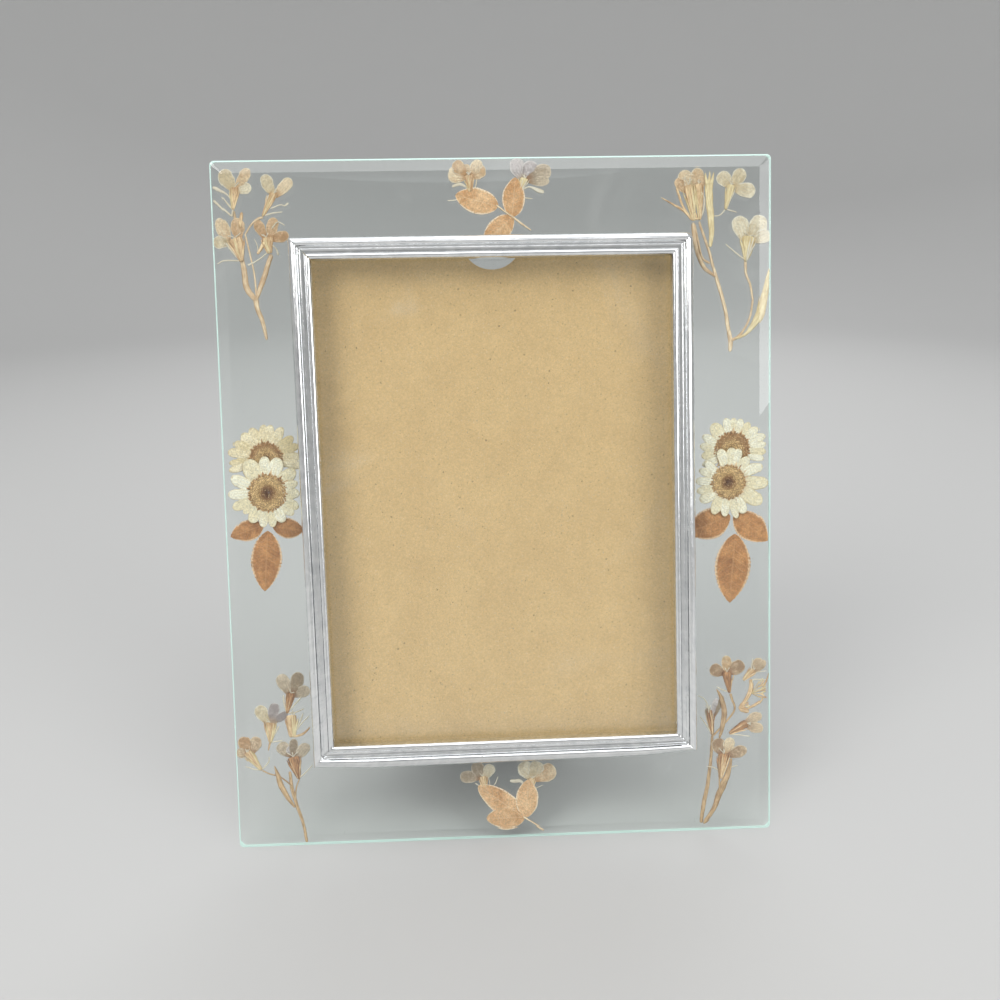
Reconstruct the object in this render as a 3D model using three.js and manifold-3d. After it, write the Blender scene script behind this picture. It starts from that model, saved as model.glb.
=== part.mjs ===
// A pressed flower frame for the table: two panes of clear glass with dried flowers between
// them, a bent silver moulding round a photo window, and a back board on an easel strut.
//
// Everything except the strut is drawn in the plane of the glass: x to the right, y up along the
// glass, z out towards the viewer, with z = 0 on the front face of the front pane. The whole
// frame then leans back on its rear bottom edge. All sizes are in millimetres.

import * as THREE from 'three';
import { mergeVertices } from 'three/addons/utils/BufferGeometryUtils.js';
import Module from 'manifold-3d';

const wasm = await Module();
wasm.setup();

// ---------------------------------------------------------------- driving dimensions

const PANE_WIDTH = 203.2;
const PANE_HEIGHT = 254;
const PANE_THICKNESS = 3;
const PANE_CORNER = 1.6;
const BEVEL_WIDTH = 4.8;
const BEVEL_DEPTH = 1.5;

const FLOWER_GAP = 1.2;
const PRESSED_THICKNESS = 0.26;
const PRESSED_SPACING = 0.1;

const JOINT_GAP = 0.3;
const SHEET = 0.6;

// The window inside the moulding, corner by corner: the strip was bent by hand, a little out of
// square.
const WINDOW_TOP_LEFT = new THREE.Vector2(-66, 90.8);
const WINDOW_TOP_RIGHT = new THREE.Vector2(63.7, 90.7);
const WINDOW_BOTTOM_RIGHT = new THREE.Vector2(64.2, -86.6);
const WINDOW_BOTTOM_LEFT = new THREE.Vector2(-63.9, -87.2);
const RAIL_WIDTH = 8;
const RAIL_BEND_RADIUS = 3;
const RAIL_SEAM = 0.35;
const RAIL_FOOT = 0.05;
const INNER_WALL_HEIGHT = 3.4;
const OUTER_WALL_HEIGHT = 2.2;
const INNER_BEAD = { centre: 0.85, half: 0.8, foot: 3.6, rise: 0.9, from: 0.08, to: 1, steps: 4 };
const OUTER_BEAD = { centre: 6.2, half: 1.7, foot: 3, rise: 1.5, from: 0, to: 0.95, steps: 6 };
const COVE = [[2.4, 2.9], [3, 2.7]];
const RIDGE = [[3.25, 2.95], [3.5, 2.7], [4.2, 2.8]];
const TAPE_INSET = 1.5;
const TAPE_WIDTH = 3;

const BOARD_THICKNESS = 2.5;
const BOARD_LEFT = -71.2;
const BOARD_RIGHT = 70;
const BOARD_BOTTOM = -93.5;
const BOARD_TOP = 95;
const NOTCH_CENTRE_X = -1;
const NOTCH_RADIUS = 11.3;
const NOTCH_LOWEST = 87.8;
const CHANNEL_OVERLAP = 3;
const CHANNEL_LENGTH = 150;
const CHANNEL_END_INSET = 15;

const LEAN = THREE.MathUtils.degToRad(14);
const STRUT_OPEN = THREE.MathUtils.degToRad(30);
const STRUT_THICKNESS = 2.5;
const STRUT_TOP_WIDTH = 36;
const STRUT_FOOT_WIDTH = 58;
const STRUT_TOP_DROP = 2.6;
const STRUT_CORNER = 2;
const HINGE_HEIGHT = 150;
const HINGE_LEAF_WIDTH = 30;
const HINGE_LEAF_LENGTH = 13;
const HINGE_LEAF_THICKNESS = 0.8;
const KNUCKLE_RADIUS = 1.6;
const PIN_RADIUS = 0.6;
const PIN_CLEARANCE = 0.3;
const PIN_LENGTH = 32;
const PIN_SIDES = 8;
const KNUCKLE_SIDES = 12;
const RIVET_RADIUS = 2.1;
const RIVET_HEIGHT = 0.9;
const RIVET_SPACING = 18;
const RIVET_DROP = 8.8;
const RIVET_SIDES = 8;

// ---------------------------------------------------------------- levels behind the front face

const BACK_PANE_FRONT = -PANE_THICKNESS - FLOWER_GAP;
const BACK_PANE_REAR = BACK_PANE_FRONT - PANE_THICKNESS;
const CHANNEL_FRONT = BACK_PANE_REAR - JOINT_GAP;
const BOARD_FRONT = CHANNEL_FRONT - SHEET - JOINT_GAP;
const BOARD_REAR = BOARD_FRONT - BOARD_THICKNESS;
const CHANNEL_REAR = BOARD_REAR - JOINT_GAP - SHEET;
const HINGE_LEAF_REAR = BOARD_REAR - JOINT_GAP - HINGE_LEAF_THICKNESS;
const HINGE_AXIS_Z = HINGE_LEAF_REAR - KNUCKLE_RADIUS + HINGE_LEAF_THICKNESS / 2;
const HINGE_AXIS_Y = HINGE_HEIGHT - PANE_HEIGHT / 2;

// ---------------------------------------------------------------- materials

function material(colour, roughness, metalness = 0) {
  return new THREE.MeshStandardMaterial({ color: colour, roughness, metalness });
}

const GLASS = new THREE.MeshStandardMaterial({
  color: '#dcebe6', roughness: 0.03, metalness: 0, transparent: true, opacity: 0.3,
});
const TAPE = material('#e9e9e4', 0.4);
const SILVER = material('#d6d8da', 0.22, 1);
const KRAFT = material('#b8935c', 0.95);
const STEEL = material('#b9bab8', 0.35, 1);
const BLACK_BOARD = material('#1d1c1b', 0.95);
const STRAW = material('#cda56c', 0.8);
const CREAM_PETAL = material('#ddcfa0', 0.8);
const PALE_PETAL = material('#d8c69d', 0.8);
const DRY_LEAF = material('#bd7d49', 0.8);

// ---------------------------------------------------------------- solids from manifold-3d

function toSolid(geometry) {
  const bare = geometry.clone();
  bare.deleteAttribute('normal');
  bare.deleteAttribute('uv');
  const merged = mergeVertices(bare, 1e-4);
  return new wasm.Manifold(new wasm.Mesh({
    numProp: 3,
    vertProperties: new Float32Array(merged.attributes.position.array),
    triVerts: new Uint32Array(merged.index.array),
  }));
}

function toGeometry(solid) {
  const mesh = solid.getMesh();
  const geometry = new THREE.BufferGeometry();
  geometry.setAttribute('position', new THREE.BufferAttribute(mesh.vertProperties, 3));
  geometry.setIndex(new THREE.BufferAttribute(mesh.triVerts, 1));
  geometry.computeVertexNormals();
  return geometry;
}

function joined(geometries) {
  return toGeometry(geometries.map(toSolid).reduce((whole, next) => whole.add(next)));
}

function cut(geometry, tool) {
  return toGeometry(toSolid(geometry).subtract(toSolid(tool)));
}

// ---------------------------------------------------------------- flat outlines

function plate(outline, depth, holes = []) {
  const shape = new THREE.Shape(outline);
  for (const hole of holes) {
    shape.holes.push(new THREE.Path(hole));
  }
  return new THREE.ExtrudeGeometry(shape, { depth, bevelEnabled: false });
}

function rectangle(left, bottom, right, top) {
  return [
    new THREE.Vector2(left, bottom),
    new THREE.Vector2(right, bottom),
    new THREE.Vector2(right, top),
    new THREE.Vector2(left, top),
  ];
}

// A rectangle with round corners, centred, anticlockwise.
function roundRectangle(width, height, radius, steps = 3) {
  const points = [];
  for (let corner = 0; corner < 4; corner += 1) {
    const sideX = corner === 0 || corner === 3 ? 1 : -1;
    const sideY = corner < 2 ? 1 : -1;
    for (let step = 0; step <= steps; step += 1) {
      const angle = (corner + step / steps) * Math.PI / 2;
      points.push(new THREE.Vector2(
        sideX * (width / 2 - radius) + radius * Math.cos(angle),
        sideY * (height / 2 - radius) + radius * Math.sin(angle),
      ));
    }
  }
  return points;
}

// A closed body through rings of equal length, each a flat outline at its own level. The rings
// go anticlockwise and from the lowest level up.
function loft(rings) {
  const count = rings[0].outline.length;
  const positions = rings.flatMap(({ outline, level }) => (
    outline.flatMap((point) => [point.x, point.y, level])
  ));
  const index = [];
  for (const [a, b, c] of THREE.ShapeUtils.triangulateShape(rings[0].outline, [])) {
    const top = (rings.length - 1) * count;
    index.push(a, c, b, top + a, top + b, top + c);
  }
  for (let ring = 0; ring < rings.length - 1; ring += 1) {
    for (let side = 0; side < count; side += 1) {
      const here = ring * count + side;
      const next = ring * count + (side + 1) % count;
      index.push(here, next, here + count, next, next + count, here + count);
    }
  }
  const geometry = new THREE.BufferGeometry();
  geometry.setAttribute('position', new THREE.Float32BufferAttribute(positions, 3));
  geometry.setIndex(index);
  geometry.computeVertexNormals();
  return geometry;
}

// ---------------------------------------------------------------- scene graph

const glassPlane = new THREE.Group();

function place(parent, name, geometry, finish, x = 0, y = 0, z = 0) {
  const mesh = new THREE.Mesh(geometry, finish);
  mesh.name = name;
  mesh.position.set(x, y, z);
  parent.add(mesh);
  return mesh;
}

// ---------------------------------------------------------------- the two panes

function frontGlass() {
  const full = roundRectangle(PANE_WIDTH, PANE_HEIGHT, PANE_CORNER);
  const flat = roundRectangle(
    PANE_WIDTH - 2 * BEVEL_WIDTH,
    PANE_HEIGHT - 2 * BEVEL_WIDTH,
    PANE_CORNER / 3,
  );
  const bevelled = loft([
    { outline: full, level: -PANE_THICKNESS },
    { outline: full, level: -BEVEL_DEPTH },
    { outline: flat, level: 0 },
  ]);
  place(glassPlane, 'front_glass', bevelled, GLASS);
}

function backGlass() {
  const pane = plate(roundRectangle(PANE_WIDTH, PANE_HEIGHT, PANE_CORNER), PANE_THICKNESS);
  place(glassPlane, 'back_glass', pane, GLASS, 0, 0, BACK_PANE_REAR);
}

// ---------------------------------------------------------------- moulding and tape

const windowCorners = [
  WINDOW_TOP_LEFT,
  WINDOW_TOP_RIGHT,
  WINDOW_BOTTOM_RIGHT,
  WINDOW_BOTTOM_LEFT,
];

// The outward direction of the mitre at one corner, scaled so that a step of 1 along it moves
// 1 mm out from both rails.
function mitre(corner) {
  const here = windowCorners[corner];
  const before = windowCorners[(corner + 3) % 4];
  const after = windowCorners[(corner + 1) % 4];
  const arriving = here.clone().sub(before).normalize();
  const leaving = after.clone().sub(here).normalize();
  const normalIn = new THREE.Vector2(-arriving.y, arriving.x);
  const normalOut = new THREE.Vector2(-leaving.y, leaving.x);
  return normalIn.clone().add(normalOut).divideScalar(1 + normalIn.dot(normalOut));
}

function windowOutline(outward) {
  return windowCorners.map((point, corner) => (
    point.clone().addScaledVector(mitre(corner), outward)
  ));
}

function beadArc({ centre, half, foot, rise, from, to, steps }) {
  return Array.from({ length: steps + 1 }, (_, step) => {
    const angle = Math.PI * (1 - THREE.MathUtils.lerp(from, to, step / steps));
    return [centre + half * Math.cos(angle), foot + rise * Math.sin(angle)];
  });
}

// Cross-section of the strip, as distance out from the window and height above the glass: a
// small inner bead, a cove with a fine ridge along it, and a wide outer bead.
function railProfile() {
  const points = [
    [0, RAIL_FOOT],
    [0, INNER_WALL_HEIGHT],
    ...beadArc(INNER_BEAD),
    ...COVE,
    ...RIDGE,
    ...beadArc(OUTER_BEAD),
    [RAIL_WIDTH, OUTER_WALL_HEIGHT],
    [RAIL_WIDTH, RAIL_FOOT],
  ];
  return points.map(([out, height]) => new THREE.Vector2(out, height));
}

function moulding() {
  const profile = railProfile();
  const seamFoot = (towards) => {
    const along = towards.clone().sub(WINDOW_TOP_LEFT).normalize();
    return WINDOW_TOP_LEFT.clone().addScaledVector(along, RAIL_SEAM / 2);
  };
  const sections = [
    { foot: seamFoot(WINDOW_TOP_RIGHT), out: mitre(0) },
    { foot: WINDOW_TOP_RIGHT, out: mitre(1) },
    { foot: WINDOW_BOTTOM_RIGHT, out: mitre(2) },
    { foot: WINDOW_BOTTOM_LEFT, out: mitre(3) },
    { foot: seamFoot(WINDOW_BOTTOM_LEFT), out: mitre(0) },
  ];
  const positions = sections.flatMap(({ foot, out }) => (
    profile.flatMap((point) => [foot.x + out.x * point.x, foot.y + out.y * point.x, point.y])
  ));
  const count = profile.length;
  const last = (sections.length - 1) * count;
  const index = [];
  for (let section = 0; section < sections.length - 1; section += 1) {
    for (let side = 0; side < count; side += 1) {
      const here = section * count + side;
      const next = section * count + (side + 1) % count;
      index.push(here, here + count, next, next, here + count, next + count);
    }
  }
  for (const [a, b, c] of THREE.ShapeUtils.triangulateShape(profile, [])) {
    index.push(a, c, b, last + a, last + b, last + c);
  }
  const strip = new THREE.BufferGeometry();
  strip.setAttribute('position', new THREE.Float32BufferAttribute(positions, 3));
  strip.setIndex(index);
  place(glassPlane, 'moulding', cut(strip, bendTrim()), SILVER, 0, 0, JOINT_GAP);
}

// What the bend at the top-right corner rounds off: a small square with a quarter disc missing.
function bendTrim() {
  const corner = windowOutline(RAIL_WIDTH)[1];
  const centre = corner.clone().subScalar(RAIL_BEND_RADIUS);
  const outline = [];
  const steps = 6;
  const height = 10;
  for (let step = 0; step <= steps; step += 1) {
    const angle = step / steps * Math.PI / 2;
    outline.push(new THREE.Vector2(
      centre.x + RAIL_BEND_RADIUS * Math.cos(angle),
      centre.y + RAIL_BEND_RADIUS * Math.sin(angle),
    ));
  }
  outline.push(new THREE.Vector2(centre.x, corner.y + 1));
  outline.push(new THREE.Vector2(corner.x + 1, corner.y + 1));
  outline.push(new THREE.Vector2(corner.x + 1, centre.y));
  const trim = plate(outline, height);
  trim.translate(0, 0, -1);
  return trim;
}

function spacerTape() {
  const thickness = FLOWER_GAP - 2 * JOINT_GAP;
  const outer = windowOutline(TAPE_INSET + TAPE_WIDTH).reverse();
  const ring = plate(outer, thickness, [windowOutline(TAPE_INSET)]);
  place(glassPlane, 'spacer_tape', ring, TAPE, 0, 0, BACK_PANE_FRONT + JOINT_GAP);
}

// ---------------------------------------------------------------- back board and its channels

function backingBoard() {
  const centreY = NOTCH_LOWEST + NOTCH_RADIUS;
  const rise = BOARD_TOP - centreY;
  const start = Math.asin(rise / NOTCH_RADIUS);
  const outline = [
    new THREE.Vector2(BOARD_LEFT, BOARD_TOP),
    new THREE.Vector2(BOARD_LEFT, BOARD_BOTTOM),
    new THREE.Vector2(BOARD_RIGHT, BOARD_BOTTOM),
    new THREE.Vector2(BOARD_RIGHT, BOARD_TOP),
  ];
  const steps = 16;
  for (let step = 0; step <= steps; step += 1) {
    const angle = THREE.MathUtils.lerp(start, -Math.PI - start, step / steps);
    outline.push(new THREE.Vector2(
      NOTCH_CENTRE_X + NOTCH_RADIUS * Math.cos(angle),
      centreY + NOTCH_RADIUS * Math.sin(angle),
    ));
  }
  place(glassPlane, 'backing_board', plate(outline, BOARD_THICKNESS), KRAFT, 0, 0, BOARD_REAR);
}

// A length of U channel along +y with its mouth towards +x, its front flange on z = 0.
function channel(length) {
  const depth = CHANNEL_FRONT - CHANNEL_REAR;
  const reach = SHEET + JOINT_GAP + CHANNEL_OVERLAP;
  const section = [
    new THREE.Vector2(0, 0),
    new THREE.Vector2(reach, 0),
    new THREE.Vector2(reach, SHEET),
    new THREE.Vector2(SHEET, SHEET),
    new THREE.Vector2(SHEET, depth - SHEET),
    new THREE.Vector2(reach, depth - SHEET),
    new THREE.Vector2(reach, depth),
    new THREE.Vector2(0, depth),
  ];
  const geometry = plate(section, length);
  geometry.rotateX(-Math.PI / 2);
  return geometry;
}

function channels() {
  const sideBottom = -CHANNEL_LENGTH / 2;
  const left = channel(CHANNEL_LENGTH);
  const right = channel(CHANNEL_LENGTH);
  right.rotateY(Math.PI);
  right.translate(0, 0, CHANNEL_REAR - CHANNEL_FRONT);
  const bottomLength = BOARD_RIGHT - BOARD_LEFT - 2 * CHANNEL_END_INSET;
  const bottom = channel(bottomLength);
  bottom.rotateZ(Math.PI / 2);
  place(glassPlane, 'channel_left', left, STEEL,
    BOARD_LEFT - JOINT_GAP - SHEET, sideBottom, CHANNEL_FRONT);
  place(glassPlane, 'channel_right', right, STEEL,
    BOARD_RIGHT + JOINT_GAP + SHEET, sideBottom, CHANNEL_FRONT);
  place(glassPlane, 'channel_bottom', bottom, STEEL,
    (BOARD_LEFT + BOARD_RIGHT + bottomLength) / 2, BOARD_BOTTOM - JOINT_GAP - SHEET, CHANNEL_FRONT);
}

// ---------------------------------------------------------------- easel strut and hinge

const strutGroup = new THREE.Group();
strutGroup.position.set(0, HINGE_AXIS_Y, HINGE_AXIS_Z);
strutGroup.rotation.x = STRUT_OPEN;
glassPlane.add(strutGroup);

const BARREL_THIRD = HINGE_LEAF_WIDTH / 3;

// One knuckle of the hinge, round the pin.
function barrel(length, x) {
  const tube = new THREE.CylinderGeometry(KNUCKLE_RADIUS, KNUCKLE_RADIUS, length, KNUCKLE_SIDES);
  tube.rotateZ(Math.PI / 2);
  tube.translate(x, 0, 0);
  return tube;
}

// One flat stretch of a hinge leaf.
function leaf(left, right, nearY, farY, nearZ) {
  const outline = rectangle(left, Math.min(nearY, farY), right, Math.max(nearY, farY));
  const sheet = plate(outline, HINGE_LEAF_THICKNESS);
  sheet.translate(0, 0, nearZ);
  return sheet;
}

function pinHole() {
  const radius = PIN_RADIUS + PIN_CLEARANCE;
  const hole = new THREE.CylinderGeometry(radius, radius, PIN_LENGTH, KNUCKLE_SIDES);
  hole.rotateZ(Math.PI / 2);
  return hole;
}

function boardLeaf() {
  const half = HINGE_LEAF_WIDTH / 2;
  const leafZ = HINGE_LEAF_REAR - HINGE_AXIS_Z;
  const body = joined([
    leaf(-half, half, KNUCKLE_RADIUS + JOINT_GAP, HINGE_LEAF_LENGTH, leafZ),
    leaf(-BARREL_THIRD / 2 + JOINT_GAP, BARREL_THIRD / 2 - JOINT_GAP, 0, HINGE_LEAF_LENGTH, leafZ),
    barrel(BARREL_THIRD - 2 * JOINT_GAP, 0),
  ]);
  place(glassPlane, 'hinge_board_leaf', cut(body, pinHole()), STEEL, 0, HINGE_AXIS_Y, HINGE_AXIS_Z);
}

function strutLeaf() {
  const half = HINGE_LEAF_WIDTH / 2;
  const inner = BARREL_THIRD / 2;
  const centred = -HINGE_LEAF_THICKNESS / 2;
  const middle = (half + inner) / 2;
  const body = joined([
    leaf(-half, half, -KNUCKLE_RADIUS - JOINT_GAP, -HINGE_LEAF_LENGTH, centred),
    leaf(-half, -inner, 0, -HINGE_LEAF_LENGTH, centred),
    leaf(inner, half, 0, -HINGE_LEAF_LENGTH, centred),
    barrel(half - inner, -middle),
    barrel(half - inner, middle),
  ]);
  place(strutGroup, 'hinge_strut_leaf', cut(body, pinHole()), STEEL);
}

function hingePin() {
  const pin = new THREE.CylinderGeometry(PIN_RADIUS, PIN_RADIUS, PIN_LENGTH, PIN_SIDES);
  pin.rotateZ(Math.PI / 2);
  place(glassPlane, 'hinge_pin', pin, STEEL, 0, HINGE_AXIS_Y, HINGE_AXIS_Z);
}

// A domed rivet head whose flat side faces +z, towards the leaf that it holds.
function rivet(side) {
  const profile = [new THREE.Vector2(0, 0), new THREE.Vector2(RIVET_RADIUS, 0)];
  const steps = 3;
  for (let step = 1; step <= steps; step += 1) {
    const angle = step / steps * Math.PI / 2;
    profile.push(new THREE.Vector2(
      step === steps ? 0 : RIVET_RADIUS * Math.cos(angle),
      RIVET_HEIGHT * Math.sin(angle),
    ));
  }
  const head = new THREE.LatheGeometry(profile, RIVET_SIDES);
  head.rotateX(side * Math.PI / 2);
  return head;
}

function rivets() {
  [-1, 1].forEach((side, i) => {
    const x = side * RIVET_SPACING / 2;
    place(glassPlane, `hinge_rivet_${i + 1}`, rivet(-1), STEEL,
      x, HINGE_AXIS_Y + RIVET_DROP, HINGE_LEAF_REAR - JOINT_GAP);
    place(strutGroup, `hinge_rivet_${i + 3}`, rivet(1), STEEL,
      x, -RIVET_DROP, HINGE_LEAF_THICKNESS / 2 + JOINT_GAP);
  });
}

// The strut hangs behind the moving leaf. Its foot is cut to stand flat on the table.
function strut() {
  const slope = STRUT_OPEN - LEAN;
  const rearEdgeRise = -BACK_PANE_REAR * Math.sin(LEAN);
  const axisHeight = HINGE_HEIGHT * Math.cos(LEAN) + HINGE_AXIS_Z * Math.sin(LEAN) + rearEdgeRise;
  const near = HINGE_LEAF_THICKNESS / 2 + JOINT_GAP;
  const far = near + STRUT_THICKNESS;
  const outlineAt = (behind) => {
    const foot = -(axisHeight + behind * Math.sin(slope)) / Math.cos(slope);
    const halfTop = STRUT_TOP_WIDTH / 2;
    return [
      new THREE.Vector2(-STRUT_FOOT_WIDTH / 2, foot),
      new THREE.Vector2(STRUT_FOOT_WIDTH / 2, foot),
      new THREE.Vector2(halfTop, -STRUT_TOP_DROP - STRUT_CORNER),
      new THREE.Vector2(halfTop - STRUT_CORNER, -STRUT_TOP_DROP),
      new THREE.Vector2(-halfTop + STRUT_CORNER, -STRUT_TOP_DROP),
      new THREE.Vector2(-halfTop, -STRUT_TOP_DROP - STRUT_CORNER),
    ];
  };
  const board = loft([
    { outline: outlineAt(far), level: -far },
    { outline: outlineAt(near), level: -near },
  ]);
  place(strutGroup, 'strut', board, BLACK_BOARD);
}

// ---------------------------------------------------------------- pressed flowers

// The flowers lie in three layers between the panes, the back one nearest the back pane.
const BACK = 0;
const MIDDLE = 1;
const FRONT = 2;

function layerZ(layer) {
  return BACK_PANE_FRONT + PRESSED_SPACING + layer * (PRESSED_THICKNESS + PRESSED_SPACING);
}

function flatPiece(name, layer, finish, outlines) {
  const geometry = joined(outlines.map((outline) => plate(outline, PRESSED_THICKNESS)));
  place(glassPlane, name, geometry, finish, 0, 0, layerZ(layer));
}

// An oval from its base to its tip. A waist above 0 narrows the base; a point above 1 sharpens
// both ends.
function oval(baseX, baseY, tipX, tipY, width, waist, point, count) {
  const alongX = tipX - baseX;
  const alongY = tipY - baseY;
  const length = Math.hypot(alongX, alongY);
  const outline = [];
  for (let i = 0; i < count; i += 1) {
    const angle = i / count * 2 * Math.PI;
    const along = (1 - Math.cos(angle)) / 2;
    const swell = Math.sign(Math.sin(angle)) * Math.abs(Math.sin(angle)) ** point;
    const across = width / 2 * swell * (1 - waist * Math.cos(angle)) / length;
    outline.push(new THREE.Vector2(
      baseX + alongX * along - alongY * across,
      baseY + alongY * along + alongX * across,
    ));
  }
  return outline;
}

const petal = (baseX, baseY, tipX, tipY, width) => (
  oval(baseX, baseY, tipX, tipY, width, 0.25, 1, 8)
);

const driedLeaf = (baseX, baseY, tipX, tipY, width) => (
  oval(baseX, baseY, tipX, tipY, width, 0.06, 1.2, 14)
);

// A stem, pod or filament along a smooth line through its points, as wide at each point as
// widths says, from first to last.
function strand(widths, ...points) {
  const line = new THREE.SplineCurve(points.map(([x, y]) => new THREE.Vector2(x, y)));
  const steps = points.length - 1;
  const left = [];
  const right = [];
  for (let step = 0; step <= steps; step += 1) {
    const share = step / steps;
    const centre = line.getPoint(share);
    const tangent = line.getTangent(share);
    const station = share * (widths.length - 1);
    const before = Math.min(Math.floor(station), widths.length - 2);
    const width = THREE.MathUtils.lerp(widths[before], widths[before + 1], station - before);
    left.push(new THREE.Vector2(
      centre.x - tangent.y * width / 2,
      centre.y + tangent.x * width / 2,
    ));
    right.unshift(new THREE.Vector2(
      centre.x + tangent.y * width / 2,
      centre.y - tangent.x * width / 2,
    ));
  }
  return [...left, ...right];
}

// The tube of a blossom from its mouth down to where it meets its stalk.
function calyx(mouthX, mouthY, mouthWidth, stalkX, stalkY, stalkWidth) {
  const middleX = (mouthX + stalkX) / 2;
  const middleY = (mouthY + stalkY) / 2;
  const bulge = (mouthWidth + stalkWidth) / 2 * 1.15;
  return strand([mouthWidth, bulge, stalkWidth], [mouthX, mouthY], [middleX, middleY],
    [stalkX, stalkY]);
}

// A daisy pressed flat: rays from inside the disc to their tips, and the disc over them.
function daisy(centreX, centreY, discRadius, rays) {
  const disc = oval(centreX, centreY - discRadius, centreX, centreY + discRadius,
    2 * discRadius, 0, 1, 14);
  const outlines = rays.map(([tipX, tipY, width]) => {
    const reach = Math.hypot(tipX - centreX, tipY - centreY);
    const inside = discRadius * 0.6 / reach;
    const baseX = centreX + (tipX - centreX) * inside;
    const baseY = centreY + (tipY - centreY) * inside;
    return oval(baseX, baseY, tipX, tipY, width, 0.2, 0.9, 6);
  });
  return [disc, ...outlines];
}

function topLeftSpray() {
  flatPiece('top_left_stem', BACK, STRAW, [
    strand([1, 1.5, 1.7, 2], [-83.9, 63.3], [-85, 69.5], [-86.6, 74], [-87.4, 78.4]),
    strand([1.8, 2.2, 2, 1.4], [-87.3, 77.6], [-90.2, 82], [-91, 88], [-91.7, 93]),
    strand([1.2, 2, 1.8, 1.6], [-87.2, 77.6], [-84.8, 83.5], [-82.6, 89.5], [-81, 94]),
    strand([0.7, 0.6], [-86.9, 79], [-87.4, 87], [-89, 96], [-90.1, 101.4]),
    strand([0.6, 0.8, 1], [-90.2, 100.8], [-88.2, 104], [-85.6, 106.4], [-83.4, 107.2]),
    strand([1, 1.2], [-93.9, 109.6], [-93.4, 107], [-92.6, 104.5], [-91.9, 98]),
    strand([1.2, 1.4], [-91.9, 98.5], [-91.6, 92]),
  ]);
  flatPiece('top_left_blossom_1', FRONT, PALE_PETAL, [
    petal(-93.2, 116.2, -97.2, 123.6, 5.3),
    petal(-93.1, 116.2, -87.7, 123.9, 3.9),
    petal(-92.9, 116.2, -87.1, 118, 4.2),
    calyx(-93, 117.4, 3.6, -93.9, 109.8, 1.1),
    strand([0.9, 0.5], [-100.6, 117.9], [-98.6, 116.9], [-95.2, 114.6], [-93.6, 112]),
    strand([0.4, 0.8], [-97.4, 114.4], [-95.6, 111.8], [-93.9, 109.9]),
    strand([0.5, 0.9, 0.6], [-100.6, 113.3], [-97.4, 110.3], [-94.3, 107.4]),
    strand([0.6, 0.7], [-94.4, 107.3], [-93.8, 110.4]),
  ]);
  flatPiece('top_left_blossom_2', MIDDLE, PALE_PETAL, [
    petal(-95.6, 97.6, -99.1, 107, 4.7),
    petal(-94.8, 98.4, -101.3, 98.6, 4.6),
    petal(-92.4, 98.5, -92.7, 107, 5.1),
    strand([1.2, 1.3, 0.9], [-91.8, 103.5], [-91.2, 107], [-90.9, 109]),
    calyx(-93.4, 99.6, 6.2, -91.6, 91.4, 1.4),
    strand([0.9, 0.7], [-97, 98.2], [-94.8, 95], [-92.2, 91.8]),
    strand([0.4, 0.6], [-100.2, 90.8], [-97.4, 91.9], [-92.2, 91.8]),
  ]);
  flatPiece('top_left_blossom_3', FRONT, PALE_PETAL, [
    petal(-79.3, 114.6, -82.6, 122, 4.6),
    petal(-78.6, 114.2, -72.7, 120.4, 4.4),
    calyx(-79.3, 115.2, 3.2, -83.4, 107.3, 1),
    strand([0.5, 0.7], [-81, 114.8], [-82.2, 111], [-83, 108.2]),
    strand([0.6, 0.4, 0.9], [-80.6, 110], [-77, 111.3], [-75.4, 111], [-74, 111.9]),
    strand([0.7, 0.4], [-82.6, 107.6], [-79.8, 108.4], [-76.1, 108.8]),
  ]);
  flatPiece('top_left_blossom_4', MIDDLE, PALE_PETAL, [
    petal(-82.6, 99, -86, 106.2, 3.8),
    petal(-81.4, 98.6, -79.4, 107, 4.3),
    petal(-81.6, 99, -74.4, 100.9, 4.1),
    calyx(-82.4, 99.8, 4.4, -81.4, 94.2, 2),
    strand([1.6, 1], [-83.2, 98.4], [-84.6, 96], [-85.9, 94]),
    strand([0.3, 0.4], [-86.8, 99.5], [-85.8, 97], [-85.7, 94]),
    strand([0.5, 0.5, 0.8], [-80.6, 96.2], [-84.6, 92.7], [-88.2, 90.7], [-89.5, 90.2]),
    strand([0.4, 0.4, 1], [-80.8, 97.4], [-79.2, 96], [-78.4, 93.5]),
    strand([0.6, 0.4], [-80.4, 103], [-78.2, 105.3], [-75.6, 104.1]),
  ]);
}

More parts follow.
